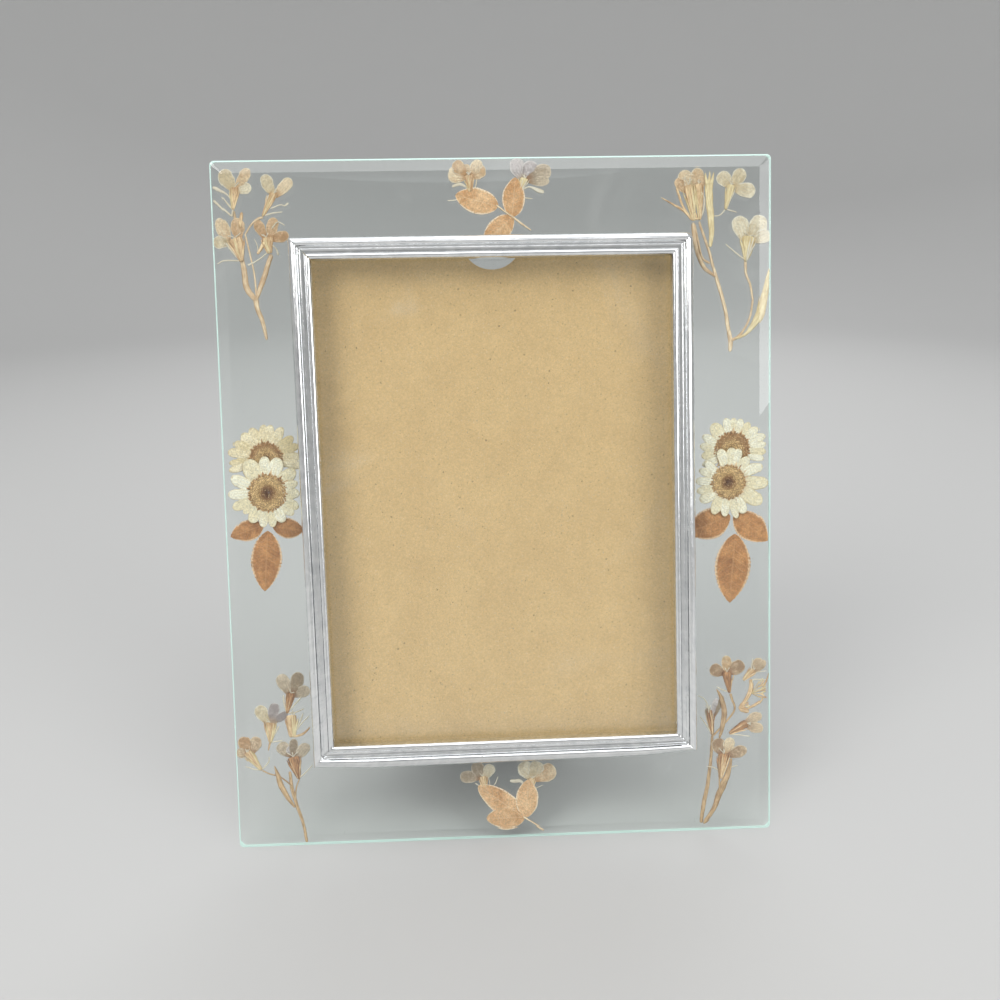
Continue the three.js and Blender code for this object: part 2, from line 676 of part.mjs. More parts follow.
function topSprig() {
  flatPiece('top_leaf_sprig', MIDDLE, DRY_LEAF, [
    driedLeaf(1.6, 109.8, -13.9, 114, 9.7),
    driedLeaf(6.6, 105.9, 8, 120, 8.7),
    driedLeaf(6.8, 106.1, -3.8, 96.6, 8.6),
    strand([0.6, 0.7, 0.8, 0.5], [0.9, 110.2], [6.3, 106.2], [9.4, 103.9], [13.4, 101]),
  ]);
  flatPiece('top_blossom_left', BACK, PALE_PETAL, [
    petal(-9.6, 120.4, -16.4, 121.4, 5.6),
    petal(-9.2, 119.8, -9.9, 124.6, 3.2),
    petal(-8.6, 120.2, -3, 123.4, 5.2),
    petal(-9.8, 121.2, -14.2, 125.4, 4.8),
    petal(-8.2, 120.6, -4.6, 126, 4.2),
    calyx(-8.8, 120.8, 3.6, -8.4, 115, 1.6),
    strand([0.6, 0.5], [-15, 117], [-12.2, 118.2], [-10.2, 116.8], [-8.6, 116]),
    strand([0.5, 0.5], [-5.9, 119.9], [-6.5, 117], [-8.2, 115.6]),
    strand([0.4, 0.5], [-16.8, 112.1], [-13, 112.6], [-8.4, 115.6]),
  ]);
  flatPiece('top_blossom_right', BACK, PALE_PETAL, [
    petal(10.8, 119, 7.6, 126.4, 5.4),
    petal(11, 118.8, 15.2, 125, 6),
    petal(12, 119.2, 21, 122.6, 5.6),
    petal(12, 118.8, 20.4, 118.6, 3.8),
    calyx(11.4, 119.6, 3.4, 9.6, 115, 1.4),
    strand([0.5, 0.5, 1.3], [9.8, 115.2], [13.4, 116.7], [16, 115.2], [18.6, 114.6]),
    strand([0.5, 0.4], [9.6, 115.2], [10.8, 113], [14.2, 112.4]),
  ]);
}

function topRightSpray() {
  flatPiece('top_right_stem', BACK, STRAW, [
    strand([1.3, 1.8, 1.6], [86.6, 55.8], [86.8, 59.8], [86.1, 64]),
    strand([1.5, 1.3, 1.4, 1.1], [86.2, 63], [84.7, 72], [82.6, 79.6], [80.4, 87]),
    strand([1.1, 1, 0.8], [80.6, 86.2], [78.6, 93.6], [76.2, 100.4], [75.3, 103.4]),
    strand([1, 1.6, 1.5, 1.6], [81.4, 83.3], [76.6, 87.4], [73.9, 95], [73.1, 103]),
    strand([0.9, 0.7], [79.2, 88.2], [76.4, 90.2], [75, 95.6], [73.6, 102.4]),
    strand([1.2, 0.8, 0.8], [87, 59.8], [90.6, 62.2], [94, 68.2], [95.2, 75]),
    strand([0.8, 0.9, 1.1], [95.2, 74.4], [94.2, 80], [92.6, 84.4], [92.4, 89]),
  ]);
  flatPiece('top_right_crumpled_blossom', MIDDLE, PALE_PETAL, [
    petal(71.6, 115, 67.4, 119.6, 4.6),
    petal(71.8, 114.8, 70, 122, 5),
    petal(72.2, 114.8, 75.6, 122.4, 5),
    petal(72.6, 115.2, 77, 118.6, 4.4),
    calyx(71.4, 116, 4.2, 73.2, 103.6, 1.4),
    calyx(75.2, 116.4, 3.6, 75.4, 103.8, 1.3),
    strand([0.9, 0.9, 0.6], [66.9, 115.6], [69.2, 109], [72.6, 104]),
    strand([0.3, 1, 0.8], [61.2, 112.1], [66, 109.4], [69.8, 107], [72.6, 103.8]),
    strand([1, 0.9], [74.2, 104.6], [73.6, 106.4], [72.6, 108]),
    strand([0.6, 0.6], [74.2, 114.6], [76.3, 113.4], [77.2, 111.2]),
    strand([0.6, 0.7], [77.2, 111.8], [76.8, 107.4], [75.6, 104.4]),
    strand([1, 1], [72.6, 104.4], [75.6, 104.4]),
  ]);
  flatPiece('top_right_bud', FRONT, STRAW, [
    strand([1.2, 2, 2.6, 2.8, 3], [79.2, 94], [79.7, 100], [79.2, 107], [78.8, 113], [78.9, 118]),
    strand([1.4, 0.3], [78.2, 116.4], [77.6, 119], [77.5, 120.6]),
    strand([1.4, 0.3], [78.8, 116.4], [79, 119], [79.1, 121.1]),
    strand([1.3, 0.3], [79.6, 116.4], [80.2, 119], [80.6, 120.8]),
  ]);
  flatPiece('top_right_blossom_high', MIDDLE, PALE_PETAL, [
    petal(87.4, 115.4, 82.6, 120.6, 5.6),
    petal(87.6, 115.6, 91.6, 121.9, 5),
    petal(87.4, 115.4, 96, 113.6, 5.6),
    calyx(87, 116, 3.4, 85, 107.4, 1),
    strand([0.5, 0.4], [85.2, 108], [83, 105.6], [80.3, 105.1]),
    strand([0.5, 0.4], [85.2, 107.6], [87.2, 107], [89.2, 106.4]),
  ]);
  flatPiece('top_right_blossom_low', MIDDLE, PALE_PETAL, [
    petal(93, 95.4, 89.2, 105, 6.6),
    petal(93.8, 95.4, 98.6, 105, 6.8),
    petal(94.6, 96, 101.2, 98.8, 5.4),
    calyx(93.8, 97.4, 6, 92.4, 88.6, 1.3),
    strand([0.4, 0.6], [84.9, 95.1], [88.4, 92.1], [92.2, 89.2]),
  ]);
  flatPiece('top_right_pod', MIDDLE, STRAW, [
    strand([0.7, 1.2, 3.1, 3, 2, 0.5],
      [88.6, 60.4], [93, 62.7], [97.2, 68.6], [99, 75.4], [100, 80.6], [101, 86]),
  ]);
}

function leftDaisies() {
  flatPiece('left_daisy_back', MIDDLE, CREAM_PETAL, daisy(-86, 20, 5.6, [
    [-94.2, 29.6, 4], [-91.2, 31.4, 3.8], [-86.3, 32.6, 3.2], [-83.6, 32.4, 3.2],
    [-79.4, 31.4, 3.3], [-75.8, 28, 3.3], [-73.8, 24.6, 3.2], [-73.2, 20.6, 3.2],
    [-73.2, 16.8, 3.2], [-97.2, 26.2, 3.4], [-99.4, 22.6, 3.5], [-99, 18.6, 2.5],
    [-99.2, 15.8, 2.7],
  ]));
  flatPiece('left_daisy_front', FRONT, CREAM_PETAL, daisy(-85.8, 7.4, 6.4, [
    [-86.4, 21, 4.2], [-81.4, 20.4, 4.8], [-92.6, 20, 5.8], [-75.2, 15.6, 4.4],
    [-98.4, 13.8, 4], [-100, 7.2, 3.6], [-98.4, 2, 3.5], [-94.8, 0, 2.6],
    [-92.3, -3.4, 4.2], [-87.9, -5.3, 3.1], [-84.4, -5.3, 3.1], [-80.2, -3.5, 3.9],
    [-76.7, -1, 3.4], [-74.6, 1.6, 3.4], [-74, 6.8, 3.5], [-74.6, 11, 3],
  ]));
  flatPiece('left_leaf_outer', BACK, DRY_LEAF, [driedLeaf(-87.8, -4.3, -99.8, -8.6, 7.6)]);
  flatPiece('left_leaf_inner', BACK, DRY_LEAF, [driedLeaf(-84.6, -5, -73, -6.8, 7.6)]);
  flatPiece('left_leaf_long', BACK, DRY_LEAF, [driedLeaf(-86.4, -6.7, -88.4, -29.2, 11.4)]);
}

function rightDaisies() {
  flatPiece('right_daisy_back', MIDDLE, CREAM_PETAL, daisy(87.3, 19.3, 6.2, [
    [84.9, 31.2, 3.2], [88, 31.2, 2.9], [90.8, 30.9, 3], [93.9, 29.4, 3.1],
    [97.2, 27.3, 3.2], [99.6, 24.3, 3.1], [99.8, 21.4, 2.6], [99.8, 18.4, 2.9],
    [98.9, 15.6, 2.6], [80.2, 29.4, 4.4], [76.2, 24.9, 3.1], [75.2, 21, 3],
    [75.7, 17.2, 3.2], [76, 13.8, 2.8],
  ]));
  flatPiece('right_daisy_front', FRONT, CREAM_PETAL, daisy(85.8, 7.3, 5.9, [
    [82.4, 19.7, 3.6], [87, 20.2, 4], [90.2, 19.6, 3.8], [93.4, 16.6, 3.4],
    [98.4, 13.1, 3.7], [100.7, 6.8, 4.6], [97.9, -1.2, 5], [92.1, -4.5, 3.9],
    [89, -6.5, 2.6], [84.4, -5.7, 3.3], [79.9, -4.7, 3.8], [74.9, 0.4, 4],
    [73.7, 4, 2.8], [73.3, 8, 3], [74.6, 12, 2.8], [77, 15.2, 3],
  ]));
  flatPiece('right_leaf_inner', BACK, DRY_LEAF, [driedLeaf(86.6, -5.4, 70.6, -11.6, 11.8)]);
  flatPiece('right_leaf_outer', BACK, DRY_LEAF, [driedLeaf(88, -4.6, 100.6, -15.3, 10.4)]);
  flatPiece('right_leaf_long', MIDDLE, DRY_LEAF, [driedLeaf(88.4, -12.4, 86.2, -38.6, 13.5)]);
}

function bottomLeftSpray() {
  flatPiece('bottom_left_stem', BACK, STRAW, [
    strand([1.1, 1.1, 1.3, 1.4, 1.1], [-76.5, -126], [-77.6, -119], [-79.8, -111.5],
      [-81.3, -105], [-81.9, -98.4]),
    strand([0.6, 0.5], [-80.2, -110], [-79.7, -105], [-78.3, -101.2]),
    strand([0.6, 0.5], [-81.2, -104], [-85.6, -100.4], [-89.6, -99], [-92.2, -97.6]),
  ]);
  flatPiece('bottom_left_pod', MIDDLE, STRAW, [
    strand([0.8, 1.8, 2.2, 1.8, 0.4], [-80.4, -112.4], [-83, -108.4], [-85.2, -104],
      [-86.3, -100], [-87.5, -96]),
  ]);
  flatPiece('bottom_left_blossom_1', MIDDLE, PALE_PETAL, [
    petal(-80.2, -69.4, -84.2, -60.9, 5.2),
    petal(-79.6, -69.4, -76.8, -60.2, 5),
    petal(-80, -69.2, -73.2, -66.8, 4.6),
    calyx(-80.3, -68.4, 3.4, -82, -75.8, 1.1),
    strand([0.6, 0.7], [-83.1, -68.8], [-82.9, -72], [-82, -75.4]),
    strand([0.7, 0.6], [-76.6, -70], [-79.2, -72.8], [-81.8, -75.4]),
    strand([0.4, 0.6], [-75.5, -74.2], [-79, -75.6], [-81.9, -75.6]),
  ]);
  flatPiece('bottom_left_blossom_2', BACK, PALE_PETAL, [
    petal(-89, -80, -93, -72.8, 5.1),
    petal(-88, -79.6, -86.4, -71.8, 4.4),
    petal(-87.6, -79.6, -82, -75.6, 3.2),
    calyx(-88.4, -79.6, 4.6, -88.7, -87, 1.3),
    strand([0.6, 0.6], [-85.3, -80.8], [-87, -84], [-88.5, -86.6]),
    strand([0.6, 0.5], [-84.2, -86.4], [-86.4, -86.6], [-88.7, -87]),
    strand([0.9, 0.5], [-88.7, -86.6], [-89.2, -88.4], [-89.6, -90]),
  ]);
  flatPiece('bottom_left_blossom_3', FRONT, STRAW, [
    calyx(-80.4, -76.8, 4.6, -80.2, -85, 2.6),
    strand([0.5, 0.8], [-75.9, -75.8], [-77.4, -79.4], [-79.8, -83]),
    strand([0.4, 0.7], [-73.7, -77], [-77, -80.2], [-79.8, -84]),
    strand([0.5, 1, 0.8], [-73.5, -81.3], [-76.4, -83.9], [-79.8, -84.8]),
  ]);
  flatPiece('bottom_left_blossom_4', MIDDLE, PALE_PETAL, [
    petal(-96.4, -91.4, -99, -84.5, 4.9),
    petal(-95.8, -91.2, -93.4, -84.5, 4.8),
    petal(-97, -91, -101.2, -90.4, 4),
    calyx(-97, -90.6, 3.6, -92.3, -97.4, 1.1),
    strand([0.4, 0.6], [-98, -95.7], [-95, -97], [-92.6, -97.2]),
    strand([0.4, 0.6], [-89.4, -92.3], [-89.6, -94.4], [-92.3, -97.2]),
  ]);
  flatPiece('bottom_left_blossom_5', MIDDLE, PALE_PETAL, [
    petal(-81, -92.6, -85.6, -87.4, 5.2),
    petal(-79.8, -93.6, -81.2, -88.2, 4.4),
    petal(-79.8, -93.6, -74.4, -88, 4.4),
    petal(-80.6, -93.2, -79.8, -85.6, 3.4),
    calyx(-80.2, -93, 5.4, -78.5, -101.3, 1.2),
    strand([0.3, 0.6], [-73, -96], [-76, -99], [-78.4, -100.9]),
  ]);
}

function bottomSprig() {
  flatPiece('bottom_leaf_sprig', MIDDLE, DRY_LEAF, [
    driedLeaf(4.6, -118.4, -10.6, -106.4, 8.8),
    driedLeaf(6.8, -119.5, -7.9, -119.6, 8),
    driedLeaf(7.2, -119.6, 8.4, -104.9, 9),
    strand([0.8, 0.6, 0.9], [6.2, -119.2], [9.8, -121.6], [14, -124.6]),
  ]);
  flatPiece('bottom_blossom_left', BACK, PALE_PETAL, [
    petal(-9.6, -103.6, -17.6, -102.6, 5),
    petal(-9.2, -104.4, -11.6, -97.4, 5),
    petal(-8.8, -104.2, -5.2, -98.6, 4.6),
    calyx(-9, -103.2, 3.6, -8.2, -109, 1.4),
    strand([0.3, 0.4], [-6.9, -103], [-6.4, -106.2], [-8, -108.6]),
    strand([0.3, 0.4], [-3.1, -103.2], [-4.6, -106.4], [-8, -108.8]),
    strand([0.4, 0.4], [-12.1, -105.4], [-10.4, -106.6], [-8.4, -108.4]),
  ]);
  flatPiece('bottom_blossom_right', BACK, PALE_PETAL, [
    petal(10, -105.2, 6, -98, 6.2),
    petal(10.4, -105.2, 18.8, -100.6, 7.2),
    petal(10.2, -105, 12.2, -97.8, 6),
    calyx(10, -104.6, 3.2, 8.6, -110, 1.4),
    strand([1.2, 0.7, 0.5], [1.4, -105.1], [4, -105.5], [6.8, -106.6], [8.8, -109.4]),
    strand([0.3, 0.4], [14, -107.2], [11.6, -108.2], [8.9, -109.6]),
  ]);
}

function bottomRightSpray() {
  flatPiece('bottom_right_stem', BACK, STRAW, [
    strand([1.3, 1.7, 1.5, 1.2, 1], [75, -123.9], [75.9, -117.6], [77.6, -109],
      [78.8, -99.6], [79.5, -89.6]),
    strand([0.8, 0.8, 1], [79.5, -90.4], [84, -85.6], [88, -80.4], [87.2, -76.4], [86.4, -73.8]),
  ]);
  flatPiece('bottom_right_pod', FRONT, STRAW, [
    strand([1.4, 1.8, 2.4, 2.7, 2, 0.9], [75.8, -124.2], [79.6, -119], [81.6, -113.6],
      [83.6, -109], [85.5, -104], [86.6, -99]),
    strand([0.6, 0.6], [81.9, -113.4], [81.9, -107], [81.5, -100.2]),
  ]);
  flatPiece('bottom_right_blade_leaf', FRONT, STRAW, [
    strand([0.4, 1.8, 2.2, 1.8, 0.8], [81, -71.7], [83, -75.8], [83.9, -81], [83.2, -86.4],
      [82, -91]),
  ]);
  flatPiece('bottom_right_blossom_1', MIDDLE, PALE_PETAL, [
    petal(84.6, -66.2, 78.6, -63.4, 5),
    petal(85.2, -66.6, 84.8, -58.9, 4.1),
    petal(85.2, -66, 91.6, -62, 5.6),
    calyx(85.1, -65.6, 4, 86, -73.4, 1.1),
    strand([0.4, 0.6], [81, -70.9], [83.4, -72.2], [86, -73.2]),
  ]);
  flatPiece('bottom_right_blossom_2', FRONT, PALE_PETAL, [
    petal(94.6, -65.4, 97.8, -60.4, 3.9),
    petal(95, -66, 99.6, -61.4, 3),
    calyx(95.2, -64.8, 3.4, 91.2, -68.6, 1.2),
    strand([0.4, 0.6], [94.9, -60.2], [94.6, -63], [94.2, -65.6]),
    strand([0.3, 0.5], [100.1, -65.3], [96.8, -65.6], [94.4, -66.6]),
  ]);
  flatPiece('bottom_right_blossom_3', MIDDLE, STRAW, [
    strand([5.2, 5, 3.2, 1.6], [99.2, -70.6], [96, -72.4], [93, -76.2], [89.6, -79.8]),
    strand([0.3, 1.2], [101, -66.4], [100, -69.4], [98.4, -71.6]),
    strand([0.5, 0.7], [100, -69], [97, -68.6], [94.9, -68.9], [94.9, -72]),
    strand([0.3, 1.2, 0.8], [99.3, -75.2], [96.4, -78.2], [92.6, -80]),
    strand([1.8, 2.2], [91.6, -77.4], [90.4, -79.6]),
    strand([2.4, 2], [89.8, -79.6], [91.6, -80.2], [93.4, -81.2]),
  ]);
  flatPiece('bottom_right_blossom_4', FRONT, PALE_PETAL, [
    petal(91.4, -85.6, 97.9, -82.1, 4.1),
    petal(91.6, -85.9, 98.6, -88.2, 4.1),
    calyx(92.4, -85.6, 3.8, 85.8, -89.2, 1.4),
    strand([0.5, 0.4], [86, -89.4], [90, -90], [94, -90.6]),
  ]);
  flatPiece('bottom_right_blossom_5', MIDDLE, PALE_PETAL, [
    calyx(78.2, -80.4, 3.2, 79.4, -89.6, 1.4),
    petal(79.6, -83.6, 81.2, -75.4, 3),
    petal(80, -83, 83.6, -74.6, 2.2),
    petal(78.4, -83.4, 77.4, -79, 2.6),
    strand([0.3, 0.7], [74.5, -82.2], [77, -85.6], [79.2, -89.2]),
    strand([0.3, 0.5], [73.7, -74.1], [76.2, -75.4], [77.8, -78.6], [78, -81]),
  ]);
  flatPiece('bottom_right_blossom_6', MIDDLE, PALE_PETAL, [
    petal(83.2, -98, 81, -91.2, 5.6),
    petal(84.6, -98, 86.6, -91, 4.6),
    petal(84.4, -98.4, 92.7, -95.6, 4.6),
    calyx(83.7, -97.6, 5.4, 82.5, -107, 1.3),
    strand([0.3, 0.6], [77.1, -101.9], [80, -102.6], [82.6, -104.4]),
    strand([0.3, 0.6], [89.2, -102], [86.2, -102.8], [83, -105]),
  ]);
}

// ---------------------------------------------------------------- assembly

frontGlass();
backGlass();
moulding();
spacerTape();
backingBoard();
channels();
boardLeaf();
strutLeaf();
hingePin();
rivets();
strut();
topLeftSpray();
topSprig();
topRightSpray();
leftDaisies();
rightDaisies();
bottomLeftSpray();
bottomSprig();
bottomRightSpray();

// Lean the glass back on the rear bottom edge of the back pane, and centre the footprint.
glassPlane.rotation.x = Math.PI / 2 - LEAN;
glassPlane.position.z = PANE_HEIGHT / 2 * Math.cos(LEAN) - BACK_PANE_REAR * Math.sin(LEAN);
const pressedFlowerFrame = new THREE.Group();
pressedFlowerFrame.add(glassPlane);
const footprint = new THREE.Box3().setFromObject(pressedFlowerFrame, true);
glassPlane.position.y = -(footprint.min.y + footprint.max.y) / 2;

export default pressedFlowerFrame;
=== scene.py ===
import math

import bmesh
import bpy
import numpy as np
from mathutils import Matrix, Vector


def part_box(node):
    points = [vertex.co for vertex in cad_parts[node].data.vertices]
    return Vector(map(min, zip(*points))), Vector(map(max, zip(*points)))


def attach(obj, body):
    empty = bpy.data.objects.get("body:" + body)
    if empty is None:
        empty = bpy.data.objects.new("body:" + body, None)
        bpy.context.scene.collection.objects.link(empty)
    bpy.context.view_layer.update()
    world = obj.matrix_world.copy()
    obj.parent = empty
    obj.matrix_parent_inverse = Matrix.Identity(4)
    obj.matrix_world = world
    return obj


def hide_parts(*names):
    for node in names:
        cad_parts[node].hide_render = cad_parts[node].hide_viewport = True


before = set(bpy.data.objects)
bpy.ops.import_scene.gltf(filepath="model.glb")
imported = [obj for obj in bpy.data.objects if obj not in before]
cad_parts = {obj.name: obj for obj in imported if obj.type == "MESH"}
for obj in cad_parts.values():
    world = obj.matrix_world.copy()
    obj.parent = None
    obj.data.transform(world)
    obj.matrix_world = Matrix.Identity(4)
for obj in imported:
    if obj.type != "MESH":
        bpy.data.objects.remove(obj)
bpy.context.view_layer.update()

# The looks of a pressed flower frame: two panes of clear glass with dried flowers between them,
# a bent silver moulding round a kraft board, and the board, channels and strut behind.
#
# Everything but the strut is drawn in the plane of the glass, in millimetres: x to the right,
# y up along the glass, z out to the viewer, and z = 0 on the front face of the front pane.
# to_row() turns such points into the row frame, in metres.

# ---------------------------------------------------------------- driving dimensions

MM = 0.001
LEAN = math.radians(14)
STRUT_OPEN = math.radians(30)

PANE_WIDTH = 203.2
PANE_HEIGHT = 254.0
PANE_THICKNESS = 3.0
PANE_CORNER = 1.6
BEVEL_WIDTH = 4.8
BEVEL_DEPTH = 1.5
BEVEL_CORNER = 0.4
ARRIS = 0.5
RIM_BANDS = 3
GRIND_ROUGHNESS = 0.25
BACK_PANE_FRONT = -4.2

# The three layers that the flowers lie in, and how far a pressed piece may reach in the gap.
BACK = -4.1
MIDDLE = -3.74
FRONT = -3.38
GAP_LOW = -4.17
GAP_HIGH = -3.03
PRESS_START = 0.7
PILE_HEIGHT = 0.16

# The small parts of a blossom, a daisy and a leaf.
STAMENS = 3
CALYX_RIBS = 6
RAY_FULLNESS = 1.14
FLORETS = 420
FLORET_SIDES = 5
DOME_SIDES = 40
BRACT_REACH = 1.36
BRACTS = 22
LEAF_TEETH = 17
LEAF_WIDEST = 0.46
LEAF_VEINS = 56
VEIN_SWEEP = 9

WINDOW = np.array([(-66.0, 90.8), (63.7, 90.7), (64.2, -86.6), (-63.9, -87.2)])
RAIL_WIDTH = 8.0
RAIL_BASE = 0.32
RAIL_BEND_RADIUS = 3.0
RAIL_SEAM = 0.5

BOARD_FRONT = -8.4
BOARD_THICKNESS = 2.5
BOARD_LEFT = -71.2
BOARD_RIGHT = 70.0
BOARD_BOTTOM = -93.5
BOARD_TOP = 95.0
NOTCH_X = -1.0
NOTCH_RADIUS = 11.3
NOTCH_LOWEST = 87.8
NOTCH_STEPS = 41

HINGE_Y = 23.0
HINGE_Z = -13.2
HINGE_WIDTH = 30.0
HINGE_LEAF = 13.0
HINGE_SHEET = 0.8
KNUCKLE_RADIUS = 1.6
PIN_RADIUS = 0.6
PIN_LENGTH = 32.0
RIVET_RADIUS = 2.1
RIVET_HEIGHT = 0.9
RIVET_X = 9.0
RIVET_DROP = 8.8
JOINT_GAP = 0.3
HINGE_CORNER = 1.4
SHEET_BREAK = 0.12
NECK_NEAR = 0.6
NECK_FAR = KNUCKLE_RADIUS + 1
KNUCKLE_SOFT_END = 0.25
PIN_PLAY = 0.12
KNUCKLE_SIDES = 36
PIN_SIDES = 24
RIVET_SIDES = 32

STRUT_TOP_WIDTH = 36.0
STRUT_FOOT_WIDTH = 58.0
STRUT_THICKNESS = 2.5
STRUT_TOP_DROP = 2.6

# The moulding's section, outward from the window: an inner bead, a cove with a fine ridge, and a
# wide outer bead with two grooves.
OUTER_BEAD_MIDDLE = 6.35
OUTER_BEAD_FOOT = 2.5
OUTER_BEAD_RISE = 1.9
OUTER_BEAD_LEAN = 1.3
OUTER_GROOVES = (7.0, 6.1)
GROOVE_DEPTH = 0.05
GROOVE_WIDTH = 0.2
COVE_HEIGHT = 2.45
RIDGE_OUT = 3.75
RIDGE_RISE = 0.12
RIDGE_WIDTH = 0.3
INNER_BEAD_MIDDLE = 1.2
INNER_BEAD_FOOT = 3.0
INNER_BEAD_RISE = 1.3
OUTER_BEAD_STEPS = 41
COVE_STEPS = 17
INNER_BEAD_STEPS = 21
TOP_RIGHT = 1
SHARP_CORNERS = (2, 3)
FOLD_RADIUS = 0.12
FOLD_WIDTH = 0.4
FOLD_RISE = 0.13
FOLD_LENGTH = 14
RAIL_STATIONS = 34
CORNER_STEPS = np.array([0, 0.12, 0.25, 0.4, 0.6, 0.9, 1.4, 2.4])
SHARP_ANGLE = math.radians(40)
BEND_STEPS = 7
RAIL_WAVER = 0.015
CORNER_FADE = 8.0
BOTTOM_BOW = 1.0
BOW_X = (-72, -50, 50, 70)
BOW_OUT = (0.0, 1.0, 0.3, -1.0)

TAPE_INSET = 1.5
TAPE_WIDTH = 3.0
TAPE_MIDDLE = -3.6
TAPE_HALF_THICKNESS = 0.28
TAPE_BUTT = 0.1
TAPE_SIDES = 12
TAPE_STATIONS = 50

BOARD_CORNER = 1.0
BOARD_CORNER_STEPS = 5
BOARD_CHAMFER = 0.2
CHANNEL_BREAK = 0.15
STRUT_CORNER = 2.0

FLOOR_RADIUS = 1.2
WALL_CURVE = 0.6
WALL_HEIGHT = 1.15
WALL_STEPS = 14
STUDIO_SIDES = 96
STUDIO_TONE = (0.52, 0.52, 0.515)
AIR_TONE = (0.96, 0.98, 1.0)
AIR_STRENGTH = 0.48

# The lamps, in metres: name, place, size, watts and tint. All are turned to the frame's middle.
LAMP_AIM = (0, 0, 0.12)
LAMPS = (
    ("key", (-0.95, -1.0, 1.08), 0.9, 11.9, (1.0, 0.985, 0.96)),
    ("fill", (0.98, -0.95, 0.65), 0.9, 7.0, (1, 1, 1)),
    ("top", (0, -0.35, 1.4), 1.7, 9.7, (1, 1, 1)),
    ("back", (0.2, 1.0, 0.9), 1.0, 4.8, (1, 1, 1)),
)

# How often light may bounce: in through both panes, off a board or a flower, and out again.
BOUNCES = {
    "max_bounces": 6,
    "transmission_bounces": 6,
    "diffuse_bounces": 1,
    "glossy_bounces": 2,
    "transparent_max_bounces": 8,
}

# The camera, in the plane of the glass: where it stands, which way it looks, and its up.
CAMERA_PLACE = (-14.1, 34.8, 370.2)
CAMERA_VIEW = (0.0374, -0.0858, -0.9955)
CAMERA_UP = (0.025, 0.996, -0.086)
CAMERA_LENS = 36.18
CAMERA_SENSOR = 36.0

rng = np.random.default_rng(1433)

# ---------------------------------------------------------------- places

back_glass_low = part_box("back_glass")[0]
PLANE_Y = (
    back_glass_low.y / MM
    + BACK_PANE_FRONT * math.cos(LEAN)
    + PANE_HEIGHT / 2 * math.sin(LEAN)
)
PLANE_Z = (
    back_glass_low.z / MM
    + PANE_HEIGHT / 2 * math.cos(LEAN)
    - (BACK_PANE_FRONT - PANE_THICKNESS) * math.sin(LEAN)
)


def turn(points):
    """Directions of the glass plane, turned into the row frame."""
    x, y, z = np.moveaxis(np.asarray(points, float), -1, 0)
    back = y * math.sin(LEAN) - z * math.cos(LEAN)
    up = y * math.cos(LEAN) + z * math.sin(LEAN)
    return np.stack([x, back, up], -1)


def to_row(points):
    """Points of the glass plane, in millimetres, as metres of the row frame."""
    return (turn(points) + (0, PLANE_Y, PLANE_Z)) * MM


def strut_to_plane(points):
    """Points drawn round the hinge pin with the strut hanging along -y, turned to where it is open."""
    x, y, z = np.moveaxis(np.asarray(points, float), -1, 0)
    c, s = math.cos(STRUT_OPEN), math.sin(STRUT_OPEN)
    return np.stack([x, y * c - z * s + HINGE_Y, y * s + z * c + HINGE_Z], -1)


# ---------------------------------------------------------------- material nodes

WHITE = (1, 1, 1, 1)


def add(tree, kind, inputs=None, **settings):
    """A shader node, with its inputs set to values or linked to sockets."""
    made = tree.nodes.new("ShaderNode" + kind)
    for key, value in settings.items():
        setattr(made, key, value)
    for key, value in (inputs or {}).items():
        if isinstance(value, bpy.types.NodeSocket):
            tree.links.new(value, made.inputs[key])
        else:
            made.inputs[key].default_value = value
    return made


def colour(red, green, blue):
    """A display colour, from 0 to 255, as the linear one that shaders take."""
    shares = [c / 255 for c in (red, green, blue)]
    return [c / 12.92 if c <= 0.04045 else ((c + 0.055) / 1.055) ** 2.4 for c in shares] + [1]


def blended(a, b, share):
    """A colour on the way from a to b."""
    return [x + (y - x) * share for x, y in zip(a, b)]


def maths(tree, operation, a, b=0.0, clamp=False):
    """What one arithmetic node gives."""
    return add(tree, "Math", {0: a, 1: b}, operation=operation, use_clamp=clamp).outputs[0]


def times(tree, a, b):
    """a times b."""
    return maths(tree, "MULTIPLY", a, b)


def plus(tree, a, b, clamp=False):
    """a and b together."""
    return maths(tree, "ADD", a, b, clamp)


def mixed(tree, a, a_share, b, b_share):
    """a and b together, each by its own share."""
    return plus(tree, times(tree, a, a_share), times(tree, b, b_share))


def noise(tree, vector, scale, detail=3.0, roughness=0.55, distortion=0.0):
    """A cloudy pattern, from 0 to 1."""
    inputs = {
        "Vector": vector,
        "Scale": scale,
        "Detail": detail,
        "Roughness": roughness,
        "Distortion": distortion,
    }
    return add(tree, "TexNoise", inputs).outputs["Fac"]


def cells(tree, vector, scale):
    """Scattered cells: each point's distance from its cell's middle, and a colour for each cell."""
    return add(tree, "TexVoronoi", {"Vector": vector, "Scale": scale}).outputs


def lot(tree, spots):
    """A chance number for each cell, from 0 to 1."""
    return add(tree, "SeparateColor", {0: spots["Color"]}).outputs[0]


def between(tree, value, low, high, to_low=0.0, to_high=1.0):
    """value from low..high as to_low..to_high, clamped, with soft ends."""
    inputs = {0: value, 1: low, 2: high, 3: to_low, 4: to_high}
    return add(tree, "MapRange", inputs, interpolation_type="SMOOTHSTEP").outputs[0]


def blend(tree, share, a, b, how="MIX"):
    """Colour a with a share of colour b over it, or mixed with it another way."""
    made = tree.nodes.new("ShaderNodeMix")
    made.data_type = "RGBA"
    made.blend_type = how
    for socket, value in ((made.inputs[0], share), (made.inputs[6], a), (made.inputs[7], b)):
        if isinstance(value, bpy.types.NodeSocket):
            tree.links.new(value, socket)
        else:
            socket.default_value = value
    return made.outputs[2]


def shaded(tree, shade, pattern):
    """A colour made darker or lighter by a pattern round 1."""
    return blend(tree, 1.0, shade, pattern, "MULTIPLY")


